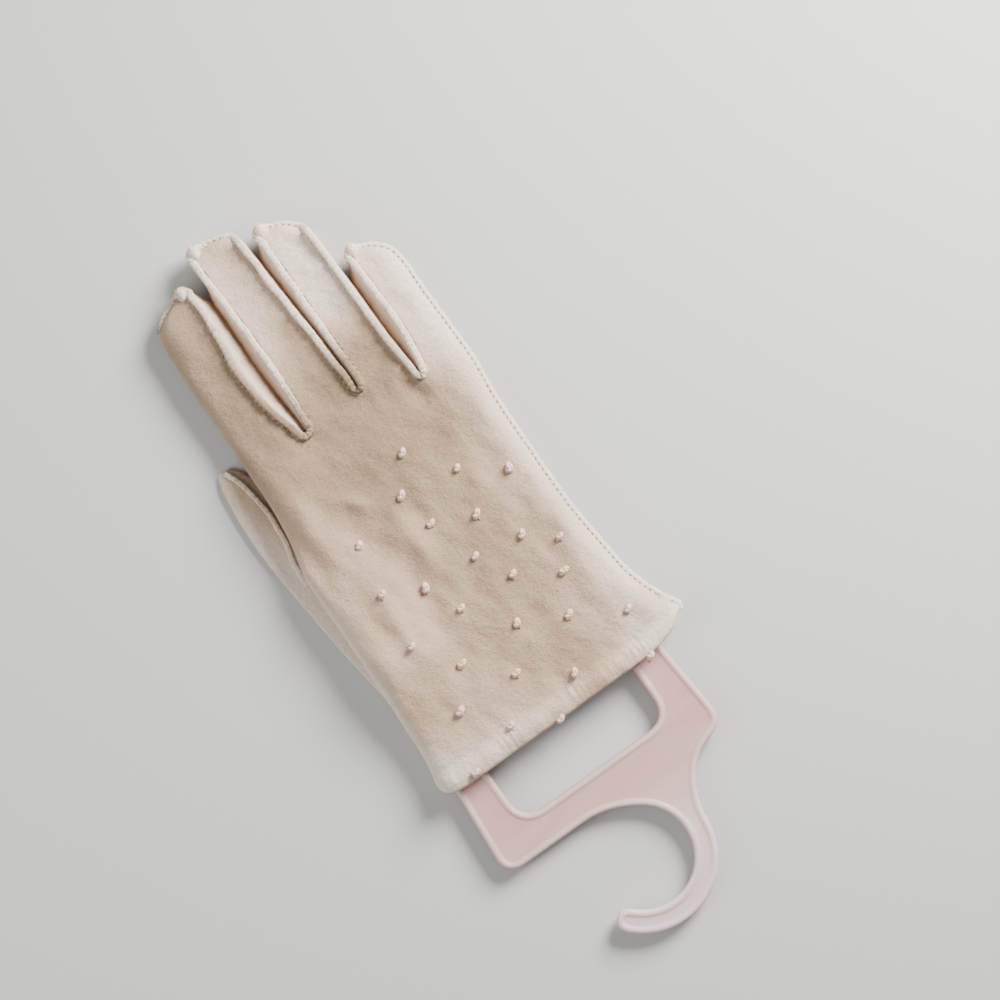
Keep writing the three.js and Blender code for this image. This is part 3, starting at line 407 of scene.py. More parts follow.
def age_and_light_at(x, y):
    """How much darker and yellower (positive) or paler the cloth is painted, for real yellowing and pale
    places and for painted shade and painted light alike: bell shaped patches and a slow random field.
    """
    age_and_light = 0.1 * ripple(x, y, 30.0, 5)
    for patch in AGE_AND_PAINTED_LIGHT:
        age_and_light = age_and_light + patch["amount"] * spot(patch, x, y)
    return age_and_light


def lanes():
    """The straight lane of each finger, side by side from the index finger's edge."""
    left = float(curve(PALM_EDGES, "left", 1.0)) * PALM_WIDTH + 0.005 * PALM_WIDTH
    spans = []
    for finger in FINGERS:
        spans.append((left, left + finger["width"]))
        left += finger["width"] + finger["gap"]
    return spans


LANES = lanes()


def edge_left(at):
    """The palm's left edge, from its table."""
    return curve(PALM_EDGES, "left", at) * PALM_WIDTH


def edge_right(at):
    """The palm's right edge: its table below, drawn over to the little finger's side above."""
    reach = LANES[LAST][1] + SEAM_STAND - float(curve(PALM_EDGES, "right", 1.0)) * PALM_WIDTH
    return curve(PALM_EDGES, "right", at) * PALM_WIDTH - SEAM_STAND + smooth(0.3, 1.0, at) * reach


def finger_seams(f, at):
    """The plan places of a finger's two sides at shares of its length, before the tip narrows them."""
    finger, (left, right) = FINGERS[f], LANES[f]
    width = finger["width"]
    rows = finger["rows"]
    return left + curve(rows, "left", at) * width, right + curve(rows, "right", at) * width


class Columns:
    """The lines that run along the hand, from the fold at the index finger to the outseam at the little
    finger.

    f is the finger, across its place from one side of the finger to the other, turn the angle round a side
    edge in radians (0 on the flat), and web the place across a crotch, from 0 to 1, or nan."""

    def __init__(self, turns=9, per_mm=1.25, webs=9):
        f, flat, turn, side, web = [], [], [], [], []

        def add(count, finger, flats, turned, sided, webbed):
            f.append(np.full(count, finger))
            flat.append(flats)
            turn.append(turned)
            side.append(np.full(count, sided))
            web.append(webbed)

        none = np.nan
        quarter = np.linspace(0, np.pi / 2, turns + 1)[1:]
        add(turns, 0, np.full(turns, 0.0), quarter[::-1], -1, np.full(turns, none))
        for i, finger in enumerate(FINGERS):
            edge = UPPER_ROUND if i in (0, LAST) else 0.0
            n = int((finger["width"] - edge) * per_mm) + 2
            add(n, i, np.linspace(0, 1, n), np.zeros(n), 0, np.full(n, none))
            if i < LAST:
                add(webs, i, np.zeros(webs), np.zeros(webs), 0, np.linspace(0, 1, webs + 2)[1:-1])
        add(turns, LAST, np.full(turns, 1.0), quarter, 1, np.full(turns, none))
        self.f, self.flat, self.turn, self.side, self.web = map(np.concatenate, (f, flat, turn, side, web))
        self.is_web = ~np.isnan(self.web)
        self.turned = self.side != 0
        fork = np.abs(2 * self.flat - 1)
        fork = np.where(self.f == 0, self.flat, fork)
        fork = np.where(self.f == LAST, 1 - self.flat, fork)
        self.fork = np.where(self.turned, 0.0, fork)
        self.count = len(self.f)

    def of(self, f):
        """The indices of a finger's own columns."""
        return np.flatnonzero((self.f == f) & ~self.is_web)


COLUMNS = Columns()


def across_finger(columns, pick, left, right, upper):
    """A finger's columns in plan: flat ones evenly between its sides, turned ones on a quarter circle at a
    side."""
    reach = ROUND[upper]
    f, flat, turn, side = (getattr(columns, name)[pick] for name in ("f", "flat", "turn", "side"))
    flat_left = left + np.where(f == 0, reach, 0.0)
    flat_right = right - np.where(f == LAST, reach, 0.0)
    x = mix(flat_left, flat_right, flat)
    x = np.where(side < 0, mix(flat_left, left, np.sin(turn)), x)
    return np.where(side > 0, mix(flat_right, right, np.sin(turn)), x)


def roots(upper):
    """The row of points where the palm ends and the fingers and crotches begin, in plan: slanted lines across
    the fingers and a parabola in each crotch."""
    c = COLUMNS
    x, y = np.zeros(c.count), np.zeros(c.count)
    for f in range(len(FINGERS)):
        pick = c.of(f)
        left, right = (float(v) for v in finger_seams(f, 0.0))
        x[pick] = across_finger(c, pick, left, right, upper)
        low = CROTCHES[f - 1] * PALM_LENGTH + WEB_DROP if f > 0 else 0.0
        high = CROTCHES[min(f, LAST - 1)] * PALM_LENGTH + (WEB_DROP if f < LAST else 0.0)
        y[pick] = ROOT_Y + mix(low, high, (x[pick] - left) / (right - left))
        if f < LAST:
            web = np.flatnonzero((c.f == f) & c.is_web)
            following = float(finger_seams(f + 1, 0.0)[0])
            x[web] = mix(right, following, c.web[web])
            y[web] = ROOT_Y + CROTCHES[f] * PALM_LENGTH + WEB_DROP * (2 * c.web[web] - 1) ** 2
    return x, y


def palm_top(at):
    """The height of the back's flat: from the cuff's up to the palm's, then down to the fingers'."""
    palm = mix(CUFF_HEIGHT, PALM_HEIGHT, smooth(0.0, RISEN, at))
    return mix(palm, FINGER_HEIGHT, smooth(FALL_FROM, 1.0, at))


def palm_grid(at, upper):
    """The palm's outer face, rows by columns. Rows run from the cuff's edge to the fingers' roots and bend to
    meet them; heights are a flat top with quarter rounds at the sides, plus the thumb's lift, less the
    folds."""
    c = COLUMNS
    at = np.asarray(at, float)[:, None]
    root_x, root_y = roots(upper)
    reach = ROUND[upper]
    wide_left, wide_right = float(finger_seams(0, 0.0)[0]), float(finger_seams(LAST, 0.0)[1])
    share = (root_x - wide_left - reach) / (wide_right - wide_left - 2 * reach)
    left, right = edge_left(at), edge_right(at)
    x = mix(left + reach, right - reach, share)
    inset = reach * (1 - np.sin(c.turn))
    x = np.where(c.side < 0, left + inset, x)
    x = np.where(c.side > 0, right - inset, x)
    x = mix(x, root_x, smooth(BEND_FROM, 1.0, at))
    side = 2 * (x - left) / (right - left) - 1
    corner = np.where(side > 0, OUTSEAM_CORNER * np.abs(side) ** 7, FOLD_CORNER * np.abs(side) ** 20)
    y = mix(CUFF_Y + (CUFF_BOW + corner) * (1 - at) ** 12, root_y, at)
    rise = smooth(FALL_FROM, 1.0, at)
    forked = np.where(c.is_web, 1.0, c.fork**2)
    flat = (palm_top(at) if upper > 0 else mix(0.0, FINGER_BOTTOM, rise)) + forked * STAND_OUT[upper] * rise
    edge = mix(CUFF_SIDE, FINGER_SIDE, smooth(0.3, 1.0, at))
    edge = edge + np.where(c.side > 0, upper * SEAM_PAIR / 2, 0.0)
    level = np.cos(c.turn)
    z = mix(edge, flat, level) + lift_at(x, y)
    if upper > 0:
        z = z - folds_at(x, y) * level - hem_marks(x, y) * level
    return np.stack([x, y, z], -1)


def hem_marks(x, y):
    """The hem's sewing seen on the back: a shallow groove one hem up from the edge, drawn in at each stitch,
    and the fuller cloth of the hem below it, in small puckers."""
    from_edge = y - CUFF_Y
    wander = 0.6 * ripple(x, 0 * x, 30.0, 8)
    groove = HEM_GROOVE * np.exp(-(((from_edge - HEM_DEPTH - wander) / 1.1) ** 2))
    phase = 2 * np.pi * x / HEM_STITCH
    pull = 0.6 + 0.4 * np.cos(phase + ripple(x, 0 * x, 17.0, 9))
    pucker = HEM_PUCKER * np.sin(phase + 1.2 * ripple(x, 0.15 * y, 12.0, 10))
    band = np.exp(-(((from_edge - 0.62 * HEM_DEPTH) / 3.4) ** 2))
    full = HEM_FULL * np.exp(-(((from_edge - 0.48 * HEM_DEPTH) / 2.8) ** 2))
    return groove * pull + pucker * band - full


def hem_rows(upper):
    """The hem, from its raw edge inside, back to the cuff's edge and round it: a half circle as deep as the
    hem is thick, carried square to the cloth all round the cuff."""
    turns = np.radians(np.arange(180, -20, -20))
    inside = np.linspace(HEM_DEPTH, 2.0, 6)
    back = np.concatenate([inside, HEM_THICKNESS / 2 * (1 - np.sin(turns))])
    depth = np.concatenate([np.full(len(inside), HEM_THICKNESS), HEM_THICKNESS / 2 * (1 - np.cos(turns))])
    grid = palm_grid(back / PALM_LENGTH, upper)
    along = np.gradient(grid[:, :, [0, 2]], axis=1)
    normal = unit(np.stack([along[..., 1], np.zeros(along.shape[:2]), -along[..., 0]], -1))
    edge = palm_grid([0.0], upper)[0, :, 1]
    grid = grid + upper * normal * depth[:, None, None]
    grid[..., 1] = edge + back[:, None]
    return grid


def body_share(f):
    """The share of a finger's length that lies before its rounded tip."""
    return 1 - (TIP_LENGTH + SEAM_STAND) / FINGERS[f]["length"]


def tip_share(f, at):
    """How far into the tip a place along a finger lies, from 0 to 1."""
    return np.clip((at - body_share(f)) * FINGERS[f]["length"] / TIP_LENGTH, 0.0, 1.0)


def finger_rows(f, per_mm=1.1, in_tip=11):
    """Shares of a finger's length: even ones along it, then closer ones as the tip rounds off, on a quarter
    circle."""
    length, body = FINGERS[f]["length"], body_share(f)
    even = np.linspace(0, body, int(body * length * per_mm))
    closing = np.sin(np.linspace(0, np.pi / 2, in_tip + 1)[1:])
    return np.concatenate([even, body + closing * TIP_LENGTH / length])


def finger_grid(f, upper):
    """A finger's upper or lower cloth, rows by columns. In plan the tip is the upper half of a square drawn
    out to an ellipse; in height it sags between the seams and closes to the middle height on a rounded
    curve."""
    c, finger = COLUMNS, FINGERS[f]
    pick = c.of(f)
    at = finger_rows(f)[:, None]
    t = tip_share(f, at)
    left, right = finger_seams(f, at)
    x = across_finger(c, pick, left, right, upper)
    centre, half = (left + right) / 2, (right - left) / 2
    u = np.clip((x - centre) / half, -1, 1)
    before = np.minimum(at, body_share(f))
    slanted = (finger["root"] + u * finger["slant"] * before) * finger["width"]
    straight = ROOT_Y + slanted + before * finger["length"]
    root_y = roots(upper)[1][pick]
    y = mix(root_y + before * finger["length"], straight, smooth(0.0, 0.5, before))
    round_off = mix(*finger["rounds"], smooth(-0.8, 0.8, u))
    y = y + (TIP_LENGTH * t + TIP_SWELL * t**2) * np.sqrt(1 - round_off * u**2)
    y = y + u * finger["slant"] * finger["width"] * TIP_SLANT * t
    x = centre + half * u * np.sqrt(1 - round_off * t**2)
    sharp_side = u if f == 0 else -u
    closed = FINGER_SIDE + upper * SEAM_PAIR / 2 + EAR_RISE * smooth(0.2, 1.0, sharp_side) * t**2
    reach = mix(closed, FLAT[upper], (1 - t**3) ** (1 / 2.6))
    edge = mix(closed, FLAT[upper] + STAND_OUT[upper], 1 - smooth(0.45, 1.0, t))
    z = mix(reach, edge, c.fork[pick] ** 2)
    side = FINGER_SIDE + np.where(c.side[pick] > 0, upper * SEAM_PAIR / 2, 0.0)
    z = np.where(c.turned[pick], mix(side, reach, np.cos(c.turn[pick])), z)
    z = z + lift_at(x, y)
    if upper > 0:
        level = np.cos(c.turn[pick])
        calm = (1 - 0.7 * c.fork[pick] ** 2) * level * (1 - t**2) * smooth(0.0, 0.14, at)
        z = z - calm * (0.25 + 0.22 * ripple(x, y, 17.0, 20 + f) + 0.06 * ripple(x, y, 6.0, 30 + f))
        z = z - folds_at(x, y) * level * (1 - smooth(0.0, 0.3, at))
    return np.stack([x, y, z], -1)


def contour():
    """The line that the trank's edge follows, from the index finger's tip over every fork to the cuff: plan
    place, upper and lower height, lean (nought where the seam stands up, a right angle where it lies out),
    and one at the tips' sharp corners, where two seams cross."""
    c = COLUMNS
    up, low = ([finger_grid(f, upper) for f in range(len(FINGERS))] for upper in (1, -1))
    root_up, root_low = palm_grid([1.0], 1)[0], palm_grid([1.0], -1)[0]
    parts = []

    def add(upper_points, lower_points, lean, sharp=0.0):
        sharp = np.broadcast_to(sharp, len(lean))
        parts.append(np.column_stack([upper_points, lower_points[:, 2], lean, sharp]))

    right_angle = np.pi / 2
    for f in range(len(FINGERS)):
        in_tip = tip_share(f, finger_rows(f))
        lean = right_angle * smooth(0.7, 1.0, in_tip)
        near_tip = smooth(0.75, 1.0, in_tip)
        if f > 0:
            add(up[f][:, 0], low[f][:, 0], lean, near_tip)
        across = np.linspace(0, 1, up[f].shape[1])
        sharp = smooth(0.85, 1.0, across) if f == 0 else 1 - smooth(0.0, 0.15, across)
        add(up[f][-1], low[f][-1], np.full(len(across), right_angle), sharp)
        side_lean = lean if f < LAST else np.full(len(lean), right_angle)
        add(up[f][::-1, -1], low[f][::-1, -1], side_lean[::-1], near_tip[::-1] if f == 0 else 0.0)
        if f < LAST:
            web = np.flatnonzero((c.f == f) & c.is_web)
            add(root_up[web], root_low[web], np.zeros(len(web)))
    at = np.linspace(1.0, 0.0, 120)
    add(palm_grid(at, 1)[:, -1], palm_grid(at, -1)[:, -1], np.full(len(at), right_angle))
    return np.concatenate(parts)


def run_of(line):
    """How far along a line in plan each of its points lies."""
    return np.concatenate([[0.0], np.cumsum(np.hypot(*np.diff(line[:, :2], axis=0).T))])


def even_steps(line, step):
    """A line of points and their values at equal steps of plan length."""
    length = run_of(line)
    keep = np.concatenate([[True], np.diff(length) > 1e-6])
    length, line = length[keep], line[keep]
    at = np.arange(0.0, length[-1], step)
    return np.column_stack([np.interp(at, length, column) for column in line.T])


def soften(line, points):
    """A line with each value replaced by a bell shaped mean over its neighbours, ends held."""
    weights = bell(points)
    reach = len(weights) // 2
    padded = np.pad(line, ((reach, reach), (0, 0)), mode="edge")
    return np.column_stack([np.convolve(column, weights, mode="valid") for column in padded.T])


def sideways(line):
    """The unit vectors along a line in plan and to its left."""
    along = unit(np.gradient(line[:, :2], axis=0))
    return along, np.column_stack([-along[:, 1], along[:, 0]])


def linked(name, data):
    """An object of a mesh, light or camera, in the scene."""
    made = bpy.data.objects.new(name, data)
    bpy.context.scene.collection.objects.link(made)
    return made


def object_from(name, vertices, faces):
    """A mesh object from arrays of vertices in millimetres and faces."""
    mesh = bpy.data.meshes.new(name)
    mesh.from_pydata((np.asarray(vertices).reshape(-1, 3) * MM).tolist(), [], [tuple(face) for face in faces])
    mesh.polygons.foreach_set("use_smooth", [True] * len(mesh.polygons))
    mesh.update()
    return linked(name, mesh)


def grid_faces(rows, columns, start=0, flip=False, closed=False):
    """The four sided faces of a grid whose points are counted along its rows, closed round if asked."""
    i, j = np.meshgrid(np.arange(rows - 1), np.arange(columns if closed else columns - 1), indexing="ij")
    following = (j + 1) % columns
    low, high = i * columns, (i + 1) * columns
    quads = np.stack([low + j, low + following, high + following, high + j]).reshape(4, -1).T + start
    return quads[:, ::-1] if flip else quads


def rework(piece, *steps):
    """Runs steps on a piece's mesh, opened for editing."""
    work = bmesh.new()
    work.from_mesh(piece.data)
    for step in steps:
        step(work)
    work.to_mesh(piece.data)
    work.free()


def close_ends(piece):
    """Fills every open ring of edges and turns all faces outwards."""
    rework(
        piece,
        lambda work: bmesh.ops.holes_fill(work, edges=[edge for edge in work.edges if edge.is_boundary]),
        lambda work: bmesh.ops.recalc_face_normals(work, faces=work.faces),
    )


def thicken(piece, thickness):
    """Gives a sheet its thickness, inwards from the face that is seen."""
    wall = piece.modifiers.new("wall", "SOLIDIFY")
    wall.thickness, wall.offset = thickness, -1.0


class Patchwork:
    """Grids gathered into one mesh."""

    def __init__(self):
        self.points, self.faces, self.count = [], [], 0

    def add(self, grid, flip=False, closed=False, keep=None):
        """Adds a grid of points. keep is a mask over its faces."""
        rows, columns = grid.shape[:2]
        faces = grid_faces(rows, columns, self.count, flip, closed)
        self.faces.append(faces if keep is None else faces[keep])
        self.points.append(grid.reshape(-1, 3))
        self.count += rows * columns

    def build(self, name, merge=0.02):
        """The mesh object, with points closer than merge millimetres joined."""
        faces = [face for block in self.faces for face in block.tolist()]
        piece = object_from(name, np.concatenate(self.points), faces)
        if merge:
            rework(piece, lambda work: bmesh.ops.remove_doubles(work, verts=work.verts, dist=merge * MM))
        return piece


# The Mix node's sockets for colours, by their places, because it has others of the same names.
MIX_FACTOR, MIX_FIRST, MIX_SECOND, MIX_COLOUR = 0, 6, 7, 2


class Maths:
    """A shader socket that takes part in Python expressions: each operator adds the Math node that it
    names."""

    def __init__(self, tree, socket):
        self.tree, self.socket = tree, socket

    def _with(self, operation, other, swapped=False):
        first, second = (other, self) if swapped else (self, other)
        return self.tree.node("ShaderNodeMath", {"operation": operation}, {0: first, 1: second})

    def __add__(self, other):
        return self._with("ADD", other)

    def __radd__(self, other):
        return self._with("ADD", other, True)

    def __sub__(self, other):
        return self._with("SUBTRACT", other)

    def __rsub__(self, other):
        return self._with("SUBTRACT", other, True)

    def __mul__(self, other):
        return self._with("MULTIPLY", other)

    def __rmul__(self, other):
        return self._with("MULTIPLY", other, True)

    def clamp(self, low, high):
        """The value held between low and high."""
        return self.tree.node("ShaderNodeClamp", {}, {"Value": self, "Min": low, "Max": high})

    def between(self, low, high, to_low=0.0, to_high=1.0):
        """The value carried from one range to another, and held inside it."""
        values = {"Value": self, "From Min": low, "From Max": high, "To Min": to_low, "To Max": to_high}
        return self.tree.node("ShaderNodeMapRange", {"clamp": True}, values)


class Finish:
    """A material whose nodes are made by one method."""

    def __init__(self, name):
        self.material = bpy.data.materials.new(name)
        self.material.use_nodes = True
        self.nodes, self.links = self.material.node_tree.nodes, self.material.node_tree.links
        self.surface = self.nodes["Principled BSDF"]

    def node(self, kind, settings=None, values=None, output=0):
        """A node of a kind, with its settings first and then its sockets' values or links, as its output."""
        made = self.nodes.new(kind)
        for key, value in (settings or {}).items():
            setattr(made, key, value)
        for key, value in (values or {}).items():
            self.put(made.inputs[key], value)
        return Maths(self, made.outputs[output])

    def put(self, socket, value):
        """Links a socket or sets its value. A colour of three numbers is opaque."""
        if isinstance(value, Maths):
            self.links.new(value.socket, socket)
        elif socket.type == "RGBA":
            socket.default_value = (*value[:3], 1.0)
        else:
            socket.default_value = value

    def set(self, **values):
        """Puts values or links into the shader's sockets, named with underscores for blanks."""
        for key, value in values.items():
            self.put(self.surface.inputs[key.replace("_", " ")], value)

    def place(self):
        """The object's own coordinates, in metres."""
        return self.node("ShaderNodeTexCoord", output="Object")

    def along(self, axis):
        """One of those coordinates."""
        return self.node("ShaderNodeSeparateXYZ", {}, {"Vector": self.place()}, output=axis)

    def noise(self, scale, detail=3.0, roughness=0.55, stretch=None, distortion=0.0):
        """Noise with about scale bumps to a metre, drawn out by a stretch of the coordinates."""
        place = self.place()
        if stretch:
            place = self.node("ShaderNodeMapping", {}, {"Vector": place, "Scale": stretch})
        values = {"Vector": place, "Scale": scale, "Detail": detail, "Roughness": roughness}
        return self.node("ShaderNodeTexNoise", {}, {**values, "Distortion": distortion}, output="Fac")

    def blend(self, factor, first, second):
        """A colour between two, by a factor."""
        values = {MIX_FACTOR: factor, MIX_FIRST: first, MIX_SECOND: second}
        return self.node("ShaderNodeMix", {"data_type": "RGBA"}, values, output=MIX_COLOUR)

    def bump(self, height, depth, strength=1.0):
        """A bump of that many metres, as the shader's normal."""
        normal = self.node("ShaderNodeBump", {}, {"Height": height, "Distance": depth, "Strength": strength})
        self.put(self.surface.inputs["Normal"], normal)


def matt(cloth, sheen):
    """The dull face of a brushed nap, with a little sheen at a grazing angle."""
    cloth.set(Roughness=0.93, Sheen_Weight=sheen, Sheen_Roughness=0.55, Specular_IOR_Level=0.2)


def brushed_cloth(name, light, deep, stain_and_shade, pale):
    """Brushed cotton cloth: a fine felted nap of short fibres, darker and yellower or paler by the mesh's
    age_and_light attribute, which carries both the cloth's real yellowing and painted shade and painted
    light."""
    cloth = Finish(name)
    nap = cloth.noise(1500.0, 4.0, 0.65)
    fibres = cloth.noise(900.0, 3.0, 0.6, stretch=(1.0, 2.6, 1.0), distortion=0.6)
    mottle = cloth.noise(560.0, 2.0, 0.6)
    patches = cloth.noise(70.0, 3.0, 0.5)
    age_and_light = cloth.node("ShaderNodeAttribute", {"attribute_name": "age_and_light"}, output="Fac")
    grain = (nap * 0.3 + fibres * 0.3 + mottle * 0.4).between(0.34, 0.66)
    # Positive values of the attribute darken the colour, for real yellowing and painted shade alike; negative
    # ones, below, lighten it towards the pale colour, for pale cloth and painted light alike.
    yellowed_and_shaded = (age_and_light + patches.between(0.45, 0.8) * 0.25).between(0.0, 1.0)
    shade = cloth.blend(grain, cloth.blend(yellowed_and_shaded, deep, stain_and_shade[0]), cloth.blend(yellowed_and_shaded, light, stain_and_shade[1]))
    shade = cloth.blend((age_and_light * -1.0).between(0.0, 1.0) * (grain * 0.5 + 0.5), shade, pale)
    cloth.set(Base_Color=shade)
    matt(cloth, 0.05)
    cloth.bump(nap * 0.3 + fibres * 0.25 + mottle * 0.45, 0.0009)
    return cloth.material


def strip_cloth(name, light, deep):
    """The side strips' cloth: the same nap, with painted light and shade: painted paler high up at the seams
    and on the index finger's strip, and painted deeper and browner lower down, towards the slit where two
    strips meet."""
    cloth = Finish(name)
    nap = cloth.noise(1500.0, 4.0, 0.65)
    # Painted light: the higher the point, the paler; lower down towards the slit the colour is a painted
    # shade. The index finger's strip, left of FIRST_STRIP, is painted paler still.
    lit = cloth.along("Z").between((FINGER_SIDE + 3.0) * MM, (FINGER_HEIGHT + 0.2) * MM)
    lit = lit + cloth.along("X").between((FIRST_STRIP - 0.5) * MM, (FIRST_STRIP + 0.5) * MM, 0.5, 0.0)
    cloth.set(Base_Color=cloth.blend((lit * 0.8 + nap * 0.5 - 0.15).clamp(0.0, 1.0), deep, light))
    matt(cloth, 0.12)
    cloth.bump(nap, 0.0008)
    return cloth.material


def sewing_thread(name, colour, dark):
    """Twisted thread: fine slanting ridges and a slightly uneven shade."""
    thread = Finish(name)
    grain = thread.noise(2600.0, 2.0, 0.5)
    thread.set(Base_Color=thread.blend(grain.between(0.35, 0.65), dark, colour), Roughness=0.75)
    thread.set(Specular_IOR_Level=0.3)
    thread.bump(grain, 0.00008, 0.6)
    return thread.material


def moulded_plastic(name, colour, deep, rim):
    """Old soft plastic, a little translucent: satin, with faint flow marks, and paler where it stands
    highest, a painted highlight on the raised rim, and paler towards the hook, painted light."""
    plastic = Finish(name)
    flow = plastic.noise(30.0, 2.0, 0.5, stretch=(1.0, 3.0, 1.0), distortion=1.2)
    fine = plastic.noise(700.0, 2.0, 0.5)
    # Painted highlight: the raised rim is painted paler.
    raised = plastic.along("Z").between((HANGER_HIGH + 0.05) * MM, (HANGER_HIGH + 0.5) * MM)
    flat = plastic.blend(flow.between(0.3, 0.75), deep, colour)
    # Painted light: the plastic is painted paler towards the hook's far end.
    flat = plastic.blend(plastic.along("Y").between(BAR_OUTER_Y * MM, HOOK_Y * MM) * 0.8, flat, rim)
    plastic.set(Base_Color=plastic.blend(raised * 0.45, flat, rim))
    plastic.set(Roughness=fine.between(0.3, 0.7, 0.34, 0.46), Specular_IOR_Level=0.5, IOR=1.46)
    plastic.set(Subsurface_Weight=0.35, Subsurface_Radius=(0.006, 0.003, 0.0024), Subsurface_Scale=1.0)
    plastic.bump(fine * 0.3 + flow * 0.7, 0.00012, 0.5)
    return plastic.material


def length_setting(name, description, default):
    """A size that a user may change, in metres."""
    return FloatProperty(name=name, description=description, default=default, unit="LENGTH")


def colour_setting(name, description, default):
    """A colour that a user may change, as linear light."""
    return FloatVectorProperty(name=name, description=description, default=default, subtype="COLOR")


class GloveSizes(bpy.types.PropertyGroup):
    """Sizes that a maker of the glove would change."""

    cloth: length_setting("Cloth", "Thickness of the cloth", 0.001)
    seam_width: length_setting("Seam width", "Both cloths of a raised seam", 0.0026)
    seam_stand: length_setting("Seam height", "How far a raised seam stands", 0.0018)
    stitch_pitch: length_setting("Stitch pitch", "From stitch to stitch", 0.0023)
    swell: length_setting("Side strip swell", "How far a side strip swells out", 0.0065)
    knot_width: length_setting("Knot width", "Width of an embroidered knot", 0.003)
    knot_turns: IntProperty(name="Knot turns", description="How often a knot's thread rises and falls",
                            default=3)
    rim_width: length_setting("Hanger rim width", "Width of the hanger's raised rim", 0.0023)
    rim_height: length_setting("Hanger rim height", "Height of the hanger's raised rim", 0.0005)


class GloveColours(bpy.types.PropertyGroup):
    """Colours of the cloth, thread and plastic, as linear light."""

    cloth_light: colour_setting("Cloth", "The nap's lit fibres", (0.57, 0.41, 0.29))
    cloth_deep: colour_setting("Cloth shade", "Between the fibres", (0.46, 0.325, 0.22))
    # The pale colour serves both for cloth that stayed white and for painted light; the two yellower colours
    # below serve both for real yellowing and for painted shade.
    cloth_pale_and_lit: colour_setting("Pale cloth", "Where it has stayed white", (0.85, 0.735, 0.625))
    stain_and_shade_light: colour_setting("Yellowed cloth", "Its lit fibres", (0.36, 0.26, 0.17))
    stain_and_shade_deep: colour_setting("Yellowed shade", "Between its fibres", (0.27, 0.19, 0.118))
    # The side strips' lit colour and their painted shade, deeper and browner towards the slit.
    side_lit: colour_setting("Side strips", "Cloth of the side strips", (0.82, 0.66, 0.52))
    side_shaded: colour_setting("Side strips' shade", "Between their fibres", (0.42, 0.225, 0.12))
    # The seam edges are the same cloth painted paler: a painted highlight on the raised seams.
    seam_edge_highlight: colour_setting("Seam edges", "The cut edges in the seams", (1.0, 0.92, 0.81))
    thread: colour_setting("Stitches", "Sewing thread", (0.56, 0.44, 0.32))
    knot: colour_setting("Knots", "Embroidery thread", (0.93, 0.73, 0.63))
    # The knots' shade also colours their dark thread ends, which stand for the knots' painted shadows.
    knot_deep: colour_setting("Knots' shade", "Between its strands", (0.6, 0.36, 0.28))
    plastic: colour_setting("Hanger", "The hanger's plastic", (0.61, 0.39, 0.355))
    # The pale colour of the raised rim and of the hook's end: a painted highlight and painted light.
    plastic_highlight: colour_setting("Hanger's rim", "Its raised rim", (0.72, 0.58, 0.585))
    plastic_deep: colour_setting("Hanger's shade", "Its deeper streaks", (0.56, 0.345, 0.31))
    floor: colour_setting("Floor", "The surface below", (0.56, 0.56, 0.555))


def sizes():
    """The scene's sizes."""
    return bpy.context.scene.glove_sizes


def colours():
    """The scene's colours."""
    return bpy.context.scene.glove_colours


# The finishes that read the age_and_light attribute: the cloth's real yellowing together with painted shade
# and painted light.
AGE_AND_LIGHT_FINISHES = ("glove_cloth", "seam_edges")


def finish_of(kind):
    """A shared finish by its name, made the first time that it is asked for."""
    name = f"{kind}_finish"
    if name in bpy.data.materials:
        return bpy.data.materials[name]
    c = colours()
    # The yellower colours serve for real yellowing and painted shade, the pale one for pale cloth and painted
    # light.
    stains_and_shade = (c.stain_and_shade_deep, c.stain_and_shade_light)
    makers = {
        "glove_cloth": (brushed_cloth, c.cloth_light, c.cloth_deep, stains_and_shade, c.cloth_pale_and_lit),
        "side_cloth": (strip_cloth, c.side_lit, c.side_shaded),
        # The raised seams are painted paler than the rest of the cloth: a painted highlight.
        "seam_edges": (brushed_cloth, c.seam_edge_highlight, c.cloth_light, stains_and_shade[::-1], c.cloth_pale_and_lit),
        "stitch_thread": (sewing_thread, c.thread, 0.7 * c.thread),
        "knot_thread": (sewing_thread, c.knot, c.knot_deep),
        # The knots' dark thread ends, which are also their painted shadows.
        "knot_tail": (sewing_thread, c.knot_deep, 0.6 * c.knot_deep),
        "hanger_plastic": (moulded_plastic, c.plastic, c.plastic_deep, c.plastic_highlight),
    }
    make, *shades = makers[kind]
    return make(name, *shades)


def dress(piece, finish, slot, *nodes):
    """Gives a piece its finish, and lets it ride on the body in place of the nodes that it replaces. Its slot
    is not used."""
    piece.data.materials.append(finish_of(finish))
    if finish in AGE_AND_LIGHT_FINISHES:
        # The points get their yellowing together with painted shade and painted light, from the table of
        # patches.
        places = np.empty(3 * len(piece.data.vertices), np.float32)
        piece.data.vertices.foreach_get("co", places)
        x, y, _ = places.reshape(-1, 3).T / MM
        piece.data.attributes.new("age_and_light", "FLOAT", "POINT").data.foreach_set("value", age_and_light_at(x, y))
    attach(piece, "root")
    if nodes:
        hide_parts(*nodes)
    return piece


def back_heights(places):
    """The height of the back over places in plan, by the palm's formula for its flat part."""
    x, y = np.asarray(places, float).T
    return palm_top((y - CUFF_Y) / PALM_LENGTH) + lift_at(x, y) - folds_at(x, y) - hem_marks(x, y)


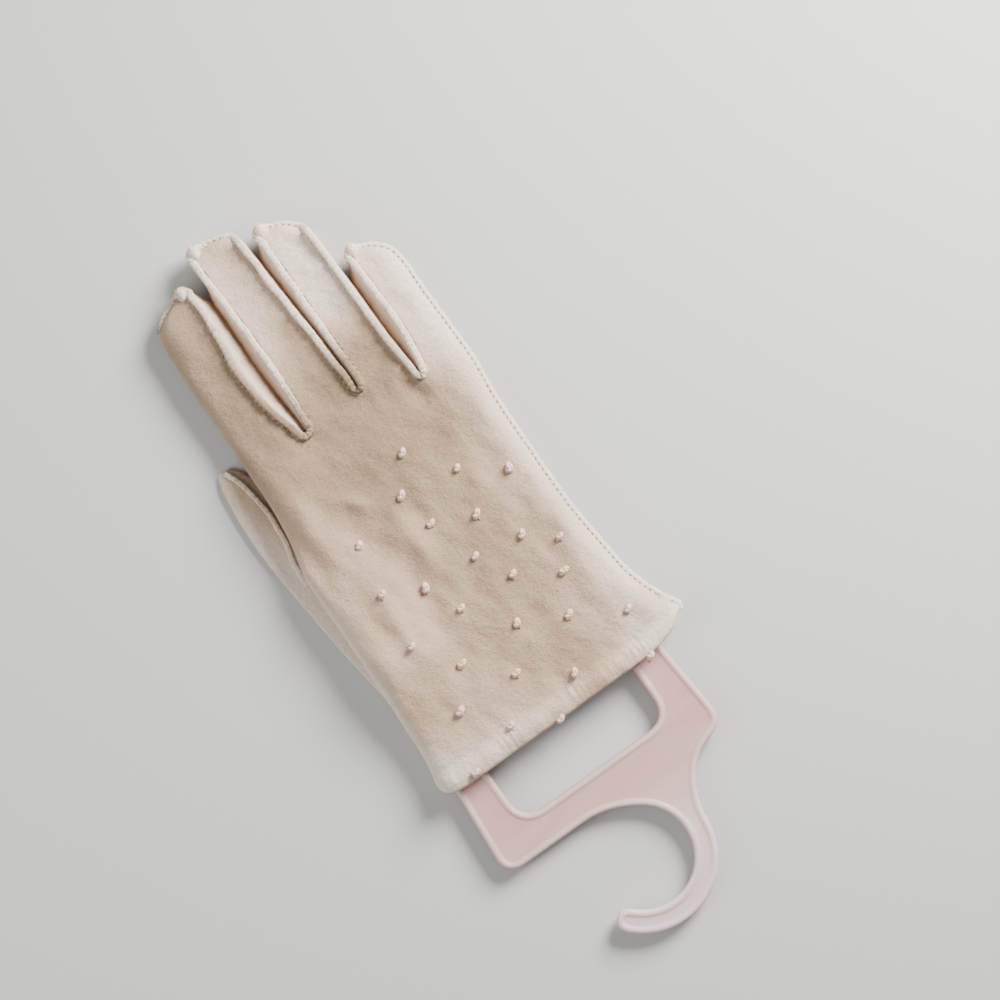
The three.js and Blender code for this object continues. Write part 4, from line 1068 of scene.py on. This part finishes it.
class GLOVE_OT_trank(bpy.types.Operator):
    """Back and palm in one cloth, with the turned in hem and the upper and lower faces of the fingers"""

    bl_idname = "glove.trank"
    bl_label = "Trank"

    def execute(self, context):
        patches = Patchwork()
        # The rows are a millimetre apart over the hem, and then even up to the fingers.
        at = np.concatenate([np.linspace(2.6, 14.0, 11) / PALM_LENGTH, np.linspace(0.118, 1.0, 96)])
        for upper in (1, -1):
            rows = np.concatenate([hem_rows(upper), palm_grid(at, upper)])
            keep = None
            if upper < 0:
                # The faces whose middles lie in the thumb's hole, a rounded oblong, are left out.
                middle = (rows[1:, 1:, :2] + rows[:-1, :-1, :2]) / 2
                keep = ((((middle - THUMB_HOLE) / THUMB_HOLE_HALF) ** 4).sum(-1) >= 1).ravel()
            patches.add(rows, flip=upper < 0, keep=keep)
            for f in range(len(FINGERS)):
                patches.add(finger_grid(f, upper), flip=upper < 0)
            patches.add(allowance(upper), flip=upper < 0)
        piece = patches.build("trank_cloth")
        thicken(piece, sizes().cloth)
        dress(piece, "glove_cloth", "glove_cloth", "trank")
        return {"FINISHED"}


def seam_profile(width, stand, count=14):
    """The section of a raised seam: a rounded block of two cloths, with a shallow groove between their
    edges."""
    angle = np.linspace(0, 2 * np.pi, count, endpoint=False)
    across, up = np.cos(angle), np.sin(angle)
    across = np.sign(across) * np.abs(across) ** 0.7 * width / 2
    up = np.sign(up) * np.abs(up) ** 0.7
    groove = np.where(up > 0, 0.16 * np.exp(-((across / (0.2 * width)) ** 2)), 0.0)
    return across, np.where(up > 0, up * stand, up * 0.7) - groove


def seam_grid(line, upper, width, stand, pitch, seed, aside=SEAM_PAIR / 2):
    """A raised seam carried along a line: its section stands along the lean, drawn in and down at each stitch
    and a little uneven along its length. The line's columns are x, y, height, lean and a share of the full
    stand."""
    _, left = sideways(line)
    lean, share = line[:, 3], line[:, 4]
    zero = np.zeros(len(line))
    out = np.column_stack([left, zero])
    up = np.column_stack([zero, zero, np.full(len(line), float(upper))])
    stand_axis = np.cos(lean)[:, None] * up + np.sin(lean)[:, None] * out
    across_axis = np.cos(lean)[:, None] * out - np.sin(lean)[:, None] * up
    run = np.arange(len(line)) * STEP
    drawn = np.cos(np.pi * run / pitch) ** 6
    change = 0.1 * ripple(run, 0 * run, 5.0, seed) - SEAM_DRAWN * drawn
    uneven = SEAM_FULL + change * (1 - 0.6 * np.sin(lean))
    across, rise = seam_profile(width, 1.0)
    rise = rise[None, :] * np.where(rise > 0, stand, 1.0)[None, :] * (uneven * share)[:, None]
    middle = line[:, :3] + across_axis * aside + stand_axis * SEAM_FOOT
    wobble = 0.1 * ripple(run, 0 * run, 11.0, seed + 1)
    offset = across[None, :] * (0.7 + 0.3 * uneven)[:, None] + wobble[:, None]
    return middle[:, None] + across_axis[:, None] * offset[..., None] + stand_axis[:, None] * rise[..., None]


def upper_contour():
    """The contour at even steps and softened, with small ears at its sharp corners: there it is drawn
    outwards in a bell shape."""
    line = even_steps(contour(), STEP)
    sharp = soften(line[:, 5:], EAR_SOFT)
    line = soften(line[:, :5], LINE_SOFT)
    _, left = sideways(line)
    return np.column_stack([line[:, :2] + left * EAR * sharp / sharp.max(), line[:, 2:]])


def ear_mound(at, inward, seed):
    """The cloth gathered on a tip's sharp corner: a dome, longer along the finger and slightly uneven, whose
    rings shrink with the cosine of the angle at which they stand, and rise with its sine."""
    level = np.linspace(0, np.pi / 2, 9)[:, None]
    turn = np.linspace(0, 2 * np.pi, 33)[None, :]
    wide = 1 + 0.06 * ripple(6 * np.cos(turn), 6 * np.sin(turn), 5.0, seed)
    x = EAR_WIDTH / 2 * np.cos(level) * np.cos(turn) * wide
    y = 0.65 * EAR_WIDTH * np.cos(level) * np.sin(turn) * wide
    z = -0.6 + (SEAM_STAND + 0.55) * np.sin(level) + 0 * turn
    return np.stack([x, y, z], -1) + at + np.append(EAR_IN * inward, 0.0)


def ear_mounds():
    """A dome for each of the contour's sharp corners, set a little inside the seam's line."""
    line = even_steps(contour(), STEP)
    sharp = soften(line[:, 5:], EAR_SOFT)[:, 0]
    _, left = sideways(line)
    seam = upper_contour()
    peaks = np.flatnonzero((sharp[1:-1] > sharp[:-2]) & (sharp[1:-1] >= sharp[2:]) & (sharp[1:-1] > 0.4)) + 1
    return [ear_mound(seam[k, :3], -left[k], 70 + n) for n, k in enumerate(peaks)]


def allowance(upper):
    """A narrow strip of cloth from the trank's edge to the foot of its raised seam, which fills the ears."""
    edge, seam = contour(), upper_contour()
    length, at = run_of(edge), np.arange(len(seam)) * STEP
    height = 2 if upper > 0 else 3
    outer = np.column_stack([np.interp(length, at, seam[:, k]) for k in (0, 1, height)])
    return np.stack([edge[:, [0, 1, height]], outer], 1)


def fork_lines():
    """The parts of the contour between two fingertips, where the seam stands up, one for each crotch."""
    line = upper_contour()
    standing = line[:, 4] < STANDING_LEAN
    edges = np.flatnonzero(np.diff(standing.astype(int)))
    starts, ends = edges[::2] + 1, edges[1::2] + 1
    return [line[a:b] for a, b in zip(starts, ends)]


class GLOVE_OT_seams(bpy.types.Operator):
    """Raised seams: round every finger on the back and on the palm, and down the outer side to the cuff"""

    bl_idname = "glove.seams"
    bl_label = "Raised seams"

    def execute(self, context):
        s = sizes()
        width, stand, pitch = s.seam_width / MM, s.seam_stand / MM, s.stitch_pitch / MM
        line = upper_contour()
        fade = mix(0.25, 1.0, smooth(0.0, 14.0, line[:, 1] - CUFF_Y))
        fade = fade * mix(0.2, 1.0, smooth(0.0, 12.0, np.arange(len(line))))
        upper = np.column_stack([line[:, :3], line[:, 4], fade])
        patches = Patchwork()
        patches.add(seam_grid(upper, 1, width, stand, pitch, 40), closed=True, flip=True)
        for mound in ear_mounds():
            patches.add(mound)
        for k, fork in enumerate(fork_lines()):
            lower = np.column_stack([fork[:, :2], fork[:, 3], fork[:, 4], np.ones(len(fork))])
            patches.add(seam_grid(lower, -1, width, 0.9 * stand, pitch, 50 + k), closed=True)
        piece = patches.build("seam_edges", merge=0)
        close_ends(piece)
        dress(piece, "seam_edges", "glove_cloth")
        return {"FINISHED"}


class GLOVE_OT_side_strips(bpy.types.Operator):
    """Forked strips between the fingers, swelling out of the seams and meeting in the gap"""

    bl_idname = "glove.side_strips"
    bl_label = "Side strips"

    def execute(self, context):
        most = sizes().swell / MM
        for f, fork in enumerate(fork_lines()):
            _, left = sideways(fork)
            crotch = int(np.argmin(fork[:, 1]))
            first, second = fork[:crotch], fork[crotch:]
            order = np.argsort(first[:, 1])
            centre = mix(np.interp(fork[:, 1], first[order, 1], first[order, 0]) + SEAM_PAIR,
                         np.interp(fork[:, 1], second[:, 1], second[:, 0]) - SEAM_PAIR, FINGERS[f]["meets"])
            beyond = np.minimum(first[:, 1].max(), second[:, 1].max())
            free = smooth(-11.0, -1.0, fork[:, 1] - beyond)
            room = mix(np.abs(centre - fork[:, 0]) - 0.75 * SEAM_PAIR - 0.1, 0.0, free)
            swell = soften(np.clip(room, 0.15, most)[:, None], 1.2 / STEP)[:, 0]
            swell *= np.sin(np.clip((fork[:, 2] - fork[:, 3] - SEAM_PAIR) / 6.0, 0, 1) * np.pi / 2)
            share = np.linspace(0, 1, 15)
            bulge = np.sin(np.pi * share) ** 1.25
            out = SEAM_PAIR * 0.75 + bulge[None, :] * swell[:, None]
            pucker = 0.08 * ripple(np.arange(len(fork)) * STEP, 0 * fork[:, 0], 5.0, 60 + f)[:, None] * bulge
            plan = fork[:, None, :2] + left[:, None] * (out + pucker)[..., None]
            height = mix(fork[:, 2:3] - 0.3, fork[:, 3:4] - 0.4, share[None, :])
            patches = Patchwork()
            patches.add(np.concatenate([plan, height[..., None]], -1))
            name = f"{FINGERS[f]['name']}_{FINGERS[f + 1]['name']}"
            piece = patches.build(f"side_strip_{name}", merge=0)
            thicken(piece, 0.8 * sizes().cloth)
            dress(piece, "side_cloth", "side_cloth", f"fourchette_{name}")
        return {"FINISHED"}


def capsules(starts, ends, radius, sides=6):
    """Short threads between pairs of points: rings of a straight tube whose radius swells in the middle and
    shrinks to a cap at each end."""
    starts, ends = np.asarray(starts), np.asarray(ends)
    axis = ends - starts
    along = unit(axis)
    helper = np.where(np.abs(along[:, 2:3]) < 0.9, [[0.0, 0.0, 1.0]], [[1.0, 0.0, 0.0]])
    first = unit(np.cross(along, helper))
    second = np.cross(along, first)
    share = np.array([0.0, 0.06, 0.25, 0.5, 0.75, 0.94, 1.0])
    thick = np.array([0.25, 0.7, 1.0, 1.05, 1.0, 0.7, 0.25]) * radius
    angle = np.linspace(0, 2 * np.pi, sides, endpoint=False)
    middle = starts[:, None] + axis[:, None] * share[None, :, None]
    ring = np.cos(angle)[:, None] * first[:, None, None] + np.sin(angle)[:, None] * second[:, None, None]
    points = middle[:, :, None] + ring * thick[None, :, None, None]
    count, rings = len(starts), len(share)
    one = grid_faces(rings, sides, closed=True)
    caps = [list(range(sides))[::-1], list(range((rings - 1) * sides, rings * sides))]
    faces = []
    for k in range(count):
        start = k * rings * sides
        faces += (one + start).tolist() + [[i + start for i in cap] for cap in caps]
    return points.reshape(-1, 3), faces


class GLOVE_OT_stitches(bpy.types.Operator):
    """Small hand stitches at the foot of every raised seam"""

    bl_idname = "glove.stitches"
    bl_label = "Stitches"

    def execute(self, context):
        pitch = sizes().stitch_pitch / MM
        stride = int(round(pitch / STEP))
        rng = np.random.default_rng(7)
        starts, ends = [], []
        lines = [(upper_contour(), 2, 1.0)] + [(fork, 3, -1.0) for fork in fork_lines()]
        for line, height, up in lines:
            along, left = sideways(line)
            pick = np.arange(stride, len(line) - stride, stride)
            turning = (along[pick - stride] * along[pick + stride]).sum(1)
            pick = pick[turning > 0.75]
            lean = line[pick, 4]
            stand = np.column_stack([np.sin(lean)[:, None] * left[pick], up * np.cos(lean)])
            across = np.column_stack([np.cos(lean)[:, None] * left[pick], -up * np.sin(lean)])
            foot = np.column_stack([line[pick, :2], line[pick, height]])
            foot = foot + stand * STITCH_UP - across * STITCH_ASIDE
            run = np.column_stack([along[pick], 0 * pick]) * rng.uniform(0.35, 0.6, (len(pick), 1))
            skew = rng.normal(0, 0.12, (len(pick), 1)) * stand
            starts.append(foot - run - skew)
            ends.append(foot + run + skew)
        points, faces = capsules(np.concatenate(starts), np.concatenate(ends), STITCH_RADIUS)
        piece = object_from("seam_stitches", points, faces)
        dress(piece, "stitch_thread", "knot_thread")
        return {"FINISHED"}


def thumb_edges(at):
    """The thumb's left and right edge at shares of its length."""
    return curve(THUMB_ROWS, "left", at) * THUMB_WIDTH, curve(THUMB_ROWS, "right", at) * THUMB_WIDTH


def thumb_tall(at):
    """The thumb's full height at shares of its length."""
    return THUMB_HEIGHT * np.minimum(1, curve(THUMB_ROWS, "height", at))


def thumb_seam():
    """The thumb's seam at even steps: plan place, height of the cloth below, no lean, and how far it
    stands."""
    at = np.linspace(0.5, 0.995, 120)
    x = THUMB_LINE + curve(THUMB_SEAM, "across", at) * THUMB_WIDTH
    y = THUMB_FROM + at * THUMB_LENGTH
    line = np.column_stack([x, y, thumb_tall(at) - SEAM_SUNK, 0 * at, curve(THUMB_SEAM, "stand", at)])
    return even_steps(line, STEP)


class GLOVE_OT_thumb(bpy.types.Operator):
    """Flattened thumb, with the raised seam along its upper face, lying partly under the palm"""

    bl_idname = "glove.thumb"
    bl_label = "Thumb"

    def execute(self, context):
        at = np.concatenate([np.linspace(0, 0.9, 90), 0.9 + 0.1 * np.sin(np.linspace(0, np.pi / 2, 14)[1:])])
        left, right = thumb_edges(at)
        y = THUMB_FROM + at * THUMB_LENGTH
        angle = np.linspace(0, 2 * np.pi, 72, endpoint=False)
        across = np.sign(np.cos(angle)) * np.abs(np.cos(angle)) ** 0.85
        rise = np.sign(np.sin(angle)) * np.abs(np.sin(angle)) ** 0.6
        x = THUMB_LINE + mix(left[:, None], right[:, None], (1 + across) / 2)
        z = thumb_tall(at)[:, None] * (1 + rise) / 2
        rows = np.broadcast_to(y[:, None], x.shape)
        # The upper face stays just below the palm where that lies over it, and is free beside the palm.
        below_palm = x > edge_left((rows - CUFF_Y) / PALM_LENGTH)
        under = np.where(below_palm, lift_at(x, rows) - THUMB_GAP, np.inf)
        dent = THUMB_DENT["depth"] * spot(THUMB_DENT, x, rows)
        z = np.minimum(z - np.where(rise > 0, dent, 0.0), np.where(rise > 0, np.maximum(under, 0.2), np.inf))
        patches = Patchwork()
        patches.add(np.stack([x, rows, z], -1), closed=True)
        piece = patches.build("thumb_cloth", merge=0)
        close_ends(piece)
        dress(piece, "glove_cloth", "glove_cloth", "thumb")
        s = sizes()
        width, pitch = 0.85 * s.seam_width / MM, s.stitch_pitch / MM
        ridge = Patchwork()
        ridge.add(seam_grid(thumb_seam(), 1, width, 1.0, pitch, 70, aside=0.0), closed=True)
        piece = ridge.build("thumb_seam", merge=0)
        close_ends(piece)
        dress(piece, "seam_edges", "glove_cloth")
        return {"FINISHED"}


def arc(cx, cy, radius, start, end, count):
    """Points on an arc, angles in degrees."""
    angle = np.radians(np.linspace(start, end, count))
    return np.column_stack([cx + radius * np.cos(angle), cy + radius * np.sin(angle)])


def bend(start, control, end, count=14):
    """Points on a quadratic curve: (1-t)^2 start + 2t(1-t) control + t^2 end."""
    t = np.linspace(0, 1, count)[:, None]
    return (1 - t) ** 2 * np.array(start) + 2 * t * (1 - t) * np.array(control) + t**2 * np.array(end)


def corner(before, point, after, radius):
    """A rounded corner between two straight edges."""
    before, point, after = map(np.array, (before, point, after))
    start = point + (before - point) / np.linalg.norm(before - point) * radius
    end = point + (after - point) / np.linalg.norm(after - point) * radius
    return bend(start, point, end)


def closed_steps(points, step):
    """A closed outline at equal steps of length, softened a little, counted anticlockwise."""
    points = np.vstack([points, points[:1]])
    length = run_of(points)
    keep = np.concatenate([[True], np.diff(length) > 1e-6])
    count = int(length[-1] / step)
    at = np.linspace(0, length[-1], count, endpoint=False)
    ring = np.column_stack([np.interp(at, length[keep], column[keep]) for column in points.T])
    weights = bell(1.4)
    ring = sum(weight * np.roll(ring, k - len(weights) // 2, axis=0) for k, weight in enumerate(weights))
    following = np.roll(ring, -1, axis=0)
    area = (ring[:, 0] * following[:, 1] - following[:, 0] * ring[:, 1]).sum()
    return ring if area > 0 else ring[::-1]


def hanger_outline():
    """The hanger's outer outline: legs, bar, and the hook that opens to the thumb's side."""
    neck = NECK * (BAR_OUTER_Y - HOOK_Y)
    outer = HOOK_INNER + HOOK_WIDTH
    low_left, far_left = (HANGER_LEFT, BAR_OUTER_Y), (HANGER_LEFT + HANGER_TAPER, HANGER_FAR_Y)
    far_right, low_right = (HANGER_RIGHT - HANGER_TAPER, HANGER_FAR_Y), (HANGER_RIGHT, BAR_OUTER_Y)
    neck_point = (HANGER_RIGHT - (HANGER_RIGHT - HANGER_LEFT) / 4, BAR_OUTER_Y - neck / 2)
    side, shoulder = (HOOK_X + outer, HOOK_Y), (HOOK_X - SHOULDER, BAR_OUTER_Y)
    lower = corner(far_right, low_right, neck_point, HANGER_CORNER)
    middle = HOOK_INNER + HOOK_WIDTH / 2
    end = np.radians(HOOK_END)
    tip = (HOOK_X + middle * np.cos(end), HOOK_Y - middle * np.sin(end))
    start = np.radians(HOOK_START)
    leave = (HOOK_X + HOOK_INNER * np.cos(start), HOOK_Y + HOOK_INNER * np.sin(start))
    return np.concatenate([
        corner(shoulder, low_left, far_left, HANGER_CORNER),
        corner(low_left, far_left, far_right, HANGER_CORNER),
        corner(far_left, far_right, low_right, HANGER_CORNER),
        lower,
        bend(lower[-1], (HOOK_X + outer + 0.5 * neck, BAR_OUTER_Y - 0.65 * neck), side),
        arc(HOOK_X, HOOK_Y, outer, 0, -HOOK_END, 60),
        arc(tip[0], tip[1], HOOK_WIDTH / 2, -HOOK_END, -HOOK_END - 180, 16),
        arc(HOOK_X, HOOK_Y, HOOK_INNER, -HOOK_END, HOOK_START, 70),
        bend(leave, (HOOK_X + 0.4, BAR_OUTER_Y), shoulder),
    ])


def hanger_window():
    """The open middle of the hanger's frame, with rounded corners."""
    left, right = HANGER_LEFT + LEG_WIDTH, HANGER_RIGHT - LEG_WIDTH
    low, high = BAR_INNER_Y, HANGER_FAR_Y - FAR_BAR
    points = [(right, low), (right, high), (left, high), (left, low)]
    return np.concatenate([
        corner(points[k - 1], points[k], points[(k + 1) % 4], WINDOW_CORNER) for k in range(4)
    ])


class GLOVE_OT_hanger(bpy.types.Operator):
    """Flat plastic hanger with a raised rim, rounded edges and a hook"""

    bl_idname = "glove.hanger"
    bl_label = "Hanger"

    def execute(self, context):
        rim, bead = sizes().rim_width / MM, sizes().rim_height / MM
        # Each row is how far in from the edge and how high, from the plate's top over the rim to its bottom.
        section = np.array([
            (rim + 0.9, HANGER_HIGH), (rim + 0.35, HANGER_HIGH + 0.06), (rim, HANGER_HIGH + 0.55 * bead),
            (rim - 0.45, HANGER_HIGH + 0.95 * bead), (rim / 2, HANGER_HIGH + bead + 0.06),
            (0.7, HANGER_HIGH + 0.8 * bead), (0.28, HANGER_HIGH + 0.1), (0.05, HANGER_HIGH - 0.6),
            (0.0, HANGER_HIGH - 1.4), (0.05, HANGER_LOW + 0.8), (0.3, HANGER_LOW + 0.25), (0.9, HANGER_LOW),
            (rim + 0.9, HANGER_LOW),
        ])
        loops = [closed_steps(hanger_outline(), OUTLINE_STEP), closed_steps(hanger_window(), OUTLINE_STEP)]
        patches = Patchwork()
        inner = []
        for loop, into in zip(loops, (1.0, -1.0)):
            along = unit(np.roll(loop, -1, axis=0) - np.roll(loop, 1, axis=0))
            left = np.column_stack([-along[:, 1], along[:, 0]]) * into
            plan = loop[None] + left[None] * section[:, :1, None]
            height = np.broadcast_to(section[:, 1, None, None], (*plan.shape[:2], 1))
            inner.append((patches.count, len(loop)))
            patches.add(np.concatenate([plan, height], -1), closed=True)
        points = np.concatenate(patches.points)
        for row in (0, len(section) - 1):
            rings = [np.arange(count) + start + row * count for start, count in inner]
            flat = np.concatenate(rings)
            outlines = [[Vector((*points[i, :2], 0)) for i in ring] for ring in rings]
            triangles = np.array(tessellate_polygon(outlines))
            patches.faces.append(flat[triangles])
        piece = patches.build("hanger_plate", merge=0.001)
        close_ends(piece)
        dress(piece, "hanger_plastic", "hanger_plastic", "hanger")
        return {"FINISHED"}


def tube(path, radius, sides=8):
    """A tube round a closed path: rings square to it, on the path's own normal and binormal, with the first
    ring again at the end."""
    along = unit(np.roll(path, -1, axis=0) - np.roll(path, 1, axis=0))
    first = unit(np.cross(along, [0.0, 0.0, 1.0]))
    second = np.cross(along, first)
    angle = np.linspace(0, 2 * np.pi, sides, endpoint=False)[:, None]
    ring = np.cos(angle) * first[:, None] + np.sin(angle) * second[:, None]
    grid = path[:, None] + radius * ring
    return np.concatenate([grid, grid[:1]])


def knot_path(width, turns, seed, count=64):
    """The middle line of a knot's thread: it goes twice round while it rises and falls a number of times,
    x, y = (2 + cos(turns t)) (cos 2t, sin 2t), z = sin(turns t), squeezed and turned a little at random."""
    rng = np.random.default_rng(seed)
    t = np.linspace(0, 2 * np.pi, count, endpoint=False)
    out = (2 + np.cos(turns * t)) * width / 9
    x, y = out * np.cos(2 * t) * rng.uniform(0.9, 1.12), out * np.sin(2 * t) * rng.uniform(0.78, 0.95)
    z = (1 + np.sin(turns * t)) * width / 5.6
    x, y = KNOT_LONG * x, KNOT_NARROW * y
    turn = np.radians(rng.normal(*KNOT_TURN))
    lean_x, lean_y = rng.normal(0.3, 0.15, 2)
    x, y = x * np.cos(turn) - y * np.sin(turn), x * np.sin(turn) + y * np.cos(turn)
    return np.stack([x + lean_x * z, y + lean_y * z, z], -1)


class GLOVE_OT_knots(bpy.types.Operator):
    """Small knots of embroidery thread, strewn over the back and down to the cuff's edge"""

    bl_idname = "glove.knots"
    bl_label = "Knots"

    def execute(self, context):
        width, turns = sizes().knot_width / MM, sizes().knot_turns
        heights = back_heights(KNOTS)
        starts, ends = [], []
        for k, ((x, y), z) in enumerate(zip(KNOTS, heights)):
            rng = np.random.default_rng(200 + k)
            edge_fall = 0.9 * smooth(1.0, 4.0, CUFF_Y + 4.0 - y)
            foot = np.array([x, y, z - edge_fall])
            size = width * rng.uniform(0.88, 1.12)
            patches = Patchwork()
            ring = tube(knot_path(size, turns, 100 + k), KNOT_THREAD * size)
            patches.add(ring + foot + [0, 0, 0.25], closed=True)
            piece = patches.build(f"embroidered_knot_{k + 1:02d}", merge=0.001)
            dress(piece, "knot_thread", "knot_thread", f"knot_{k + 1:02d}")
            # Two dark thread ends run off away from the key light, towards the thumb's side and the cuff:
            # thread ends and the knot's painted shadow in one.
            for angle in np.radians(rng.normal(TAIL_ANGLES, TAIL_SPREAD)):
                away = np.array([np.cos(angle), np.sin(angle), 0.0])
                starts.append(foot + 0.3 * away + [0, 0, 0.8])
                ends.append(foot + rng.uniform(1.7, 2.4) * away + [0, 0, 0.12])
        points, faces = capsules(starts, ends, TAIL_RADIUS)
        dress(object_from("knot_tails_and_shadows", points, faces), "knot_tail", "knot_thread")
        return {"FINISHED"}


class GLOVE_OT_stage(bpy.types.Operator):
    """Plain pale floor, soft light from the little finger's side and above, and the camera overhead"""

    bl_idname = "glove.stage"
    bl_label = "Stage"

    def execute(self, context):
        corners_of_floor = [(-1, -1, 0), (1, -1, 0), (1, 1, 0), (-1, 1, 0)]
        floor = object_from("floor", FLOOR_HALF * np.array(corners_of_floor), [(0, 1, 2, 3)])
        paper = Finish("floor_paper")
        paper.set(Base_Color=colours().floor, Roughness=0.9)
        floor.data.materials.append(paper.material)
        centre = Vector((VIEW_X, VIEW_Y, 0)) * MM
        for name, place, size, power, tint in LIGHTS:
            data = bpy.data.lights.new(name, "AREA")
            data.shape, data.size, data.energy, data.color = "DISK", size, power, tint
            lamp = linked(name, data)
            lamp.location = centre + Vector(place)
            lamp.rotation_euler = (centre - lamp.location).to_track_quat("-Z", "Y").to_euler()
        world = context.scene.world or bpy.data.worlds.new("world")
        context.scene.world = world
        world.use_nodes = True
        sky = world.node_tree.nodes["Background"].inputs
        sky["Color"].default_value, sky["Strength"].default_value = SKY, SKY_STRENGTH
        data = bpy.data.cameras.new("camera")
        data.lens, data.sensor_width, data.clip_end = LENS, SENSOR, 20.0
        camera = linked("camera", data)
        distance = VIEW_FIELD * LENS / SENSOR + PALM_HEIGHT
        camera.location = (VIEW_X * MM, VIEW_Y * MM, distance * MM)
        camera.rotation_euler = (0.0, 0.0, np.radians(VIEW_TURN))
        context.scene.camera = camera
        return {"FINISHED"}


class GLOVE_PT_panel(bpy.types.Panel):
    """The glove's pieces, in the order in which they are made"""

    bl_idname = "GLOVE_PT_panel"
    bl_label = "Dress Glove"
    bl_space_type = "VIEW_3D"
    bl_region_type = "UI"
    bl_category = "Glove"

    def draw(self, context):
        layout = self.layout
        for operator in OPERATORS:
            layout.operator(operator.bl_idname)
        for group in (context.scene.glove_sizes, context.scene.glove_colours):
            for key in type(group).__annotations__:
                layout.prop(group, key)


OPERATORS = (
    GLOVE_OT_stage,
    GLOVE_OT_hanger,
    GLOVE_OT_trank,
    GLOVE_OT_thumb,
    GLOVE_OT_side_strips,
    GLOVE_OT_seams,
    GLOVE_OT_stitches,
    GLOVE_OT_knots,
)
CLASSES = (GloveSizes, GloveColours, *OPERATORS, GLOVE_PT_panel)


def register():
    """Adds the classes and the scene's sizes and colours."""
    for cls in CLASSES:
        bpy.utils.register_class(cls)
    bpy.types.Scene.glove_sizes = PointerProperty(type=GloveSizes)
    bpy.types.Scene.glove_colours = PointerProperty(type=GloveColours)


def unregister():
    """Takes them away again."""
    del bpy.types.Scene.glove_colours
    del bpy.types.Scene.glove_sizes
    for cls in reversed(CLASSES):
        bpy.utils.unregister_class(cls)


def main():
    """Builds every piece."""
    register()
    for operator in OPERATORS:
        group, name = operator.bl_idname.split(".")
        getattr(getattr(bpy.ops, group), name)()


if __name__ == "__main__":
    main()
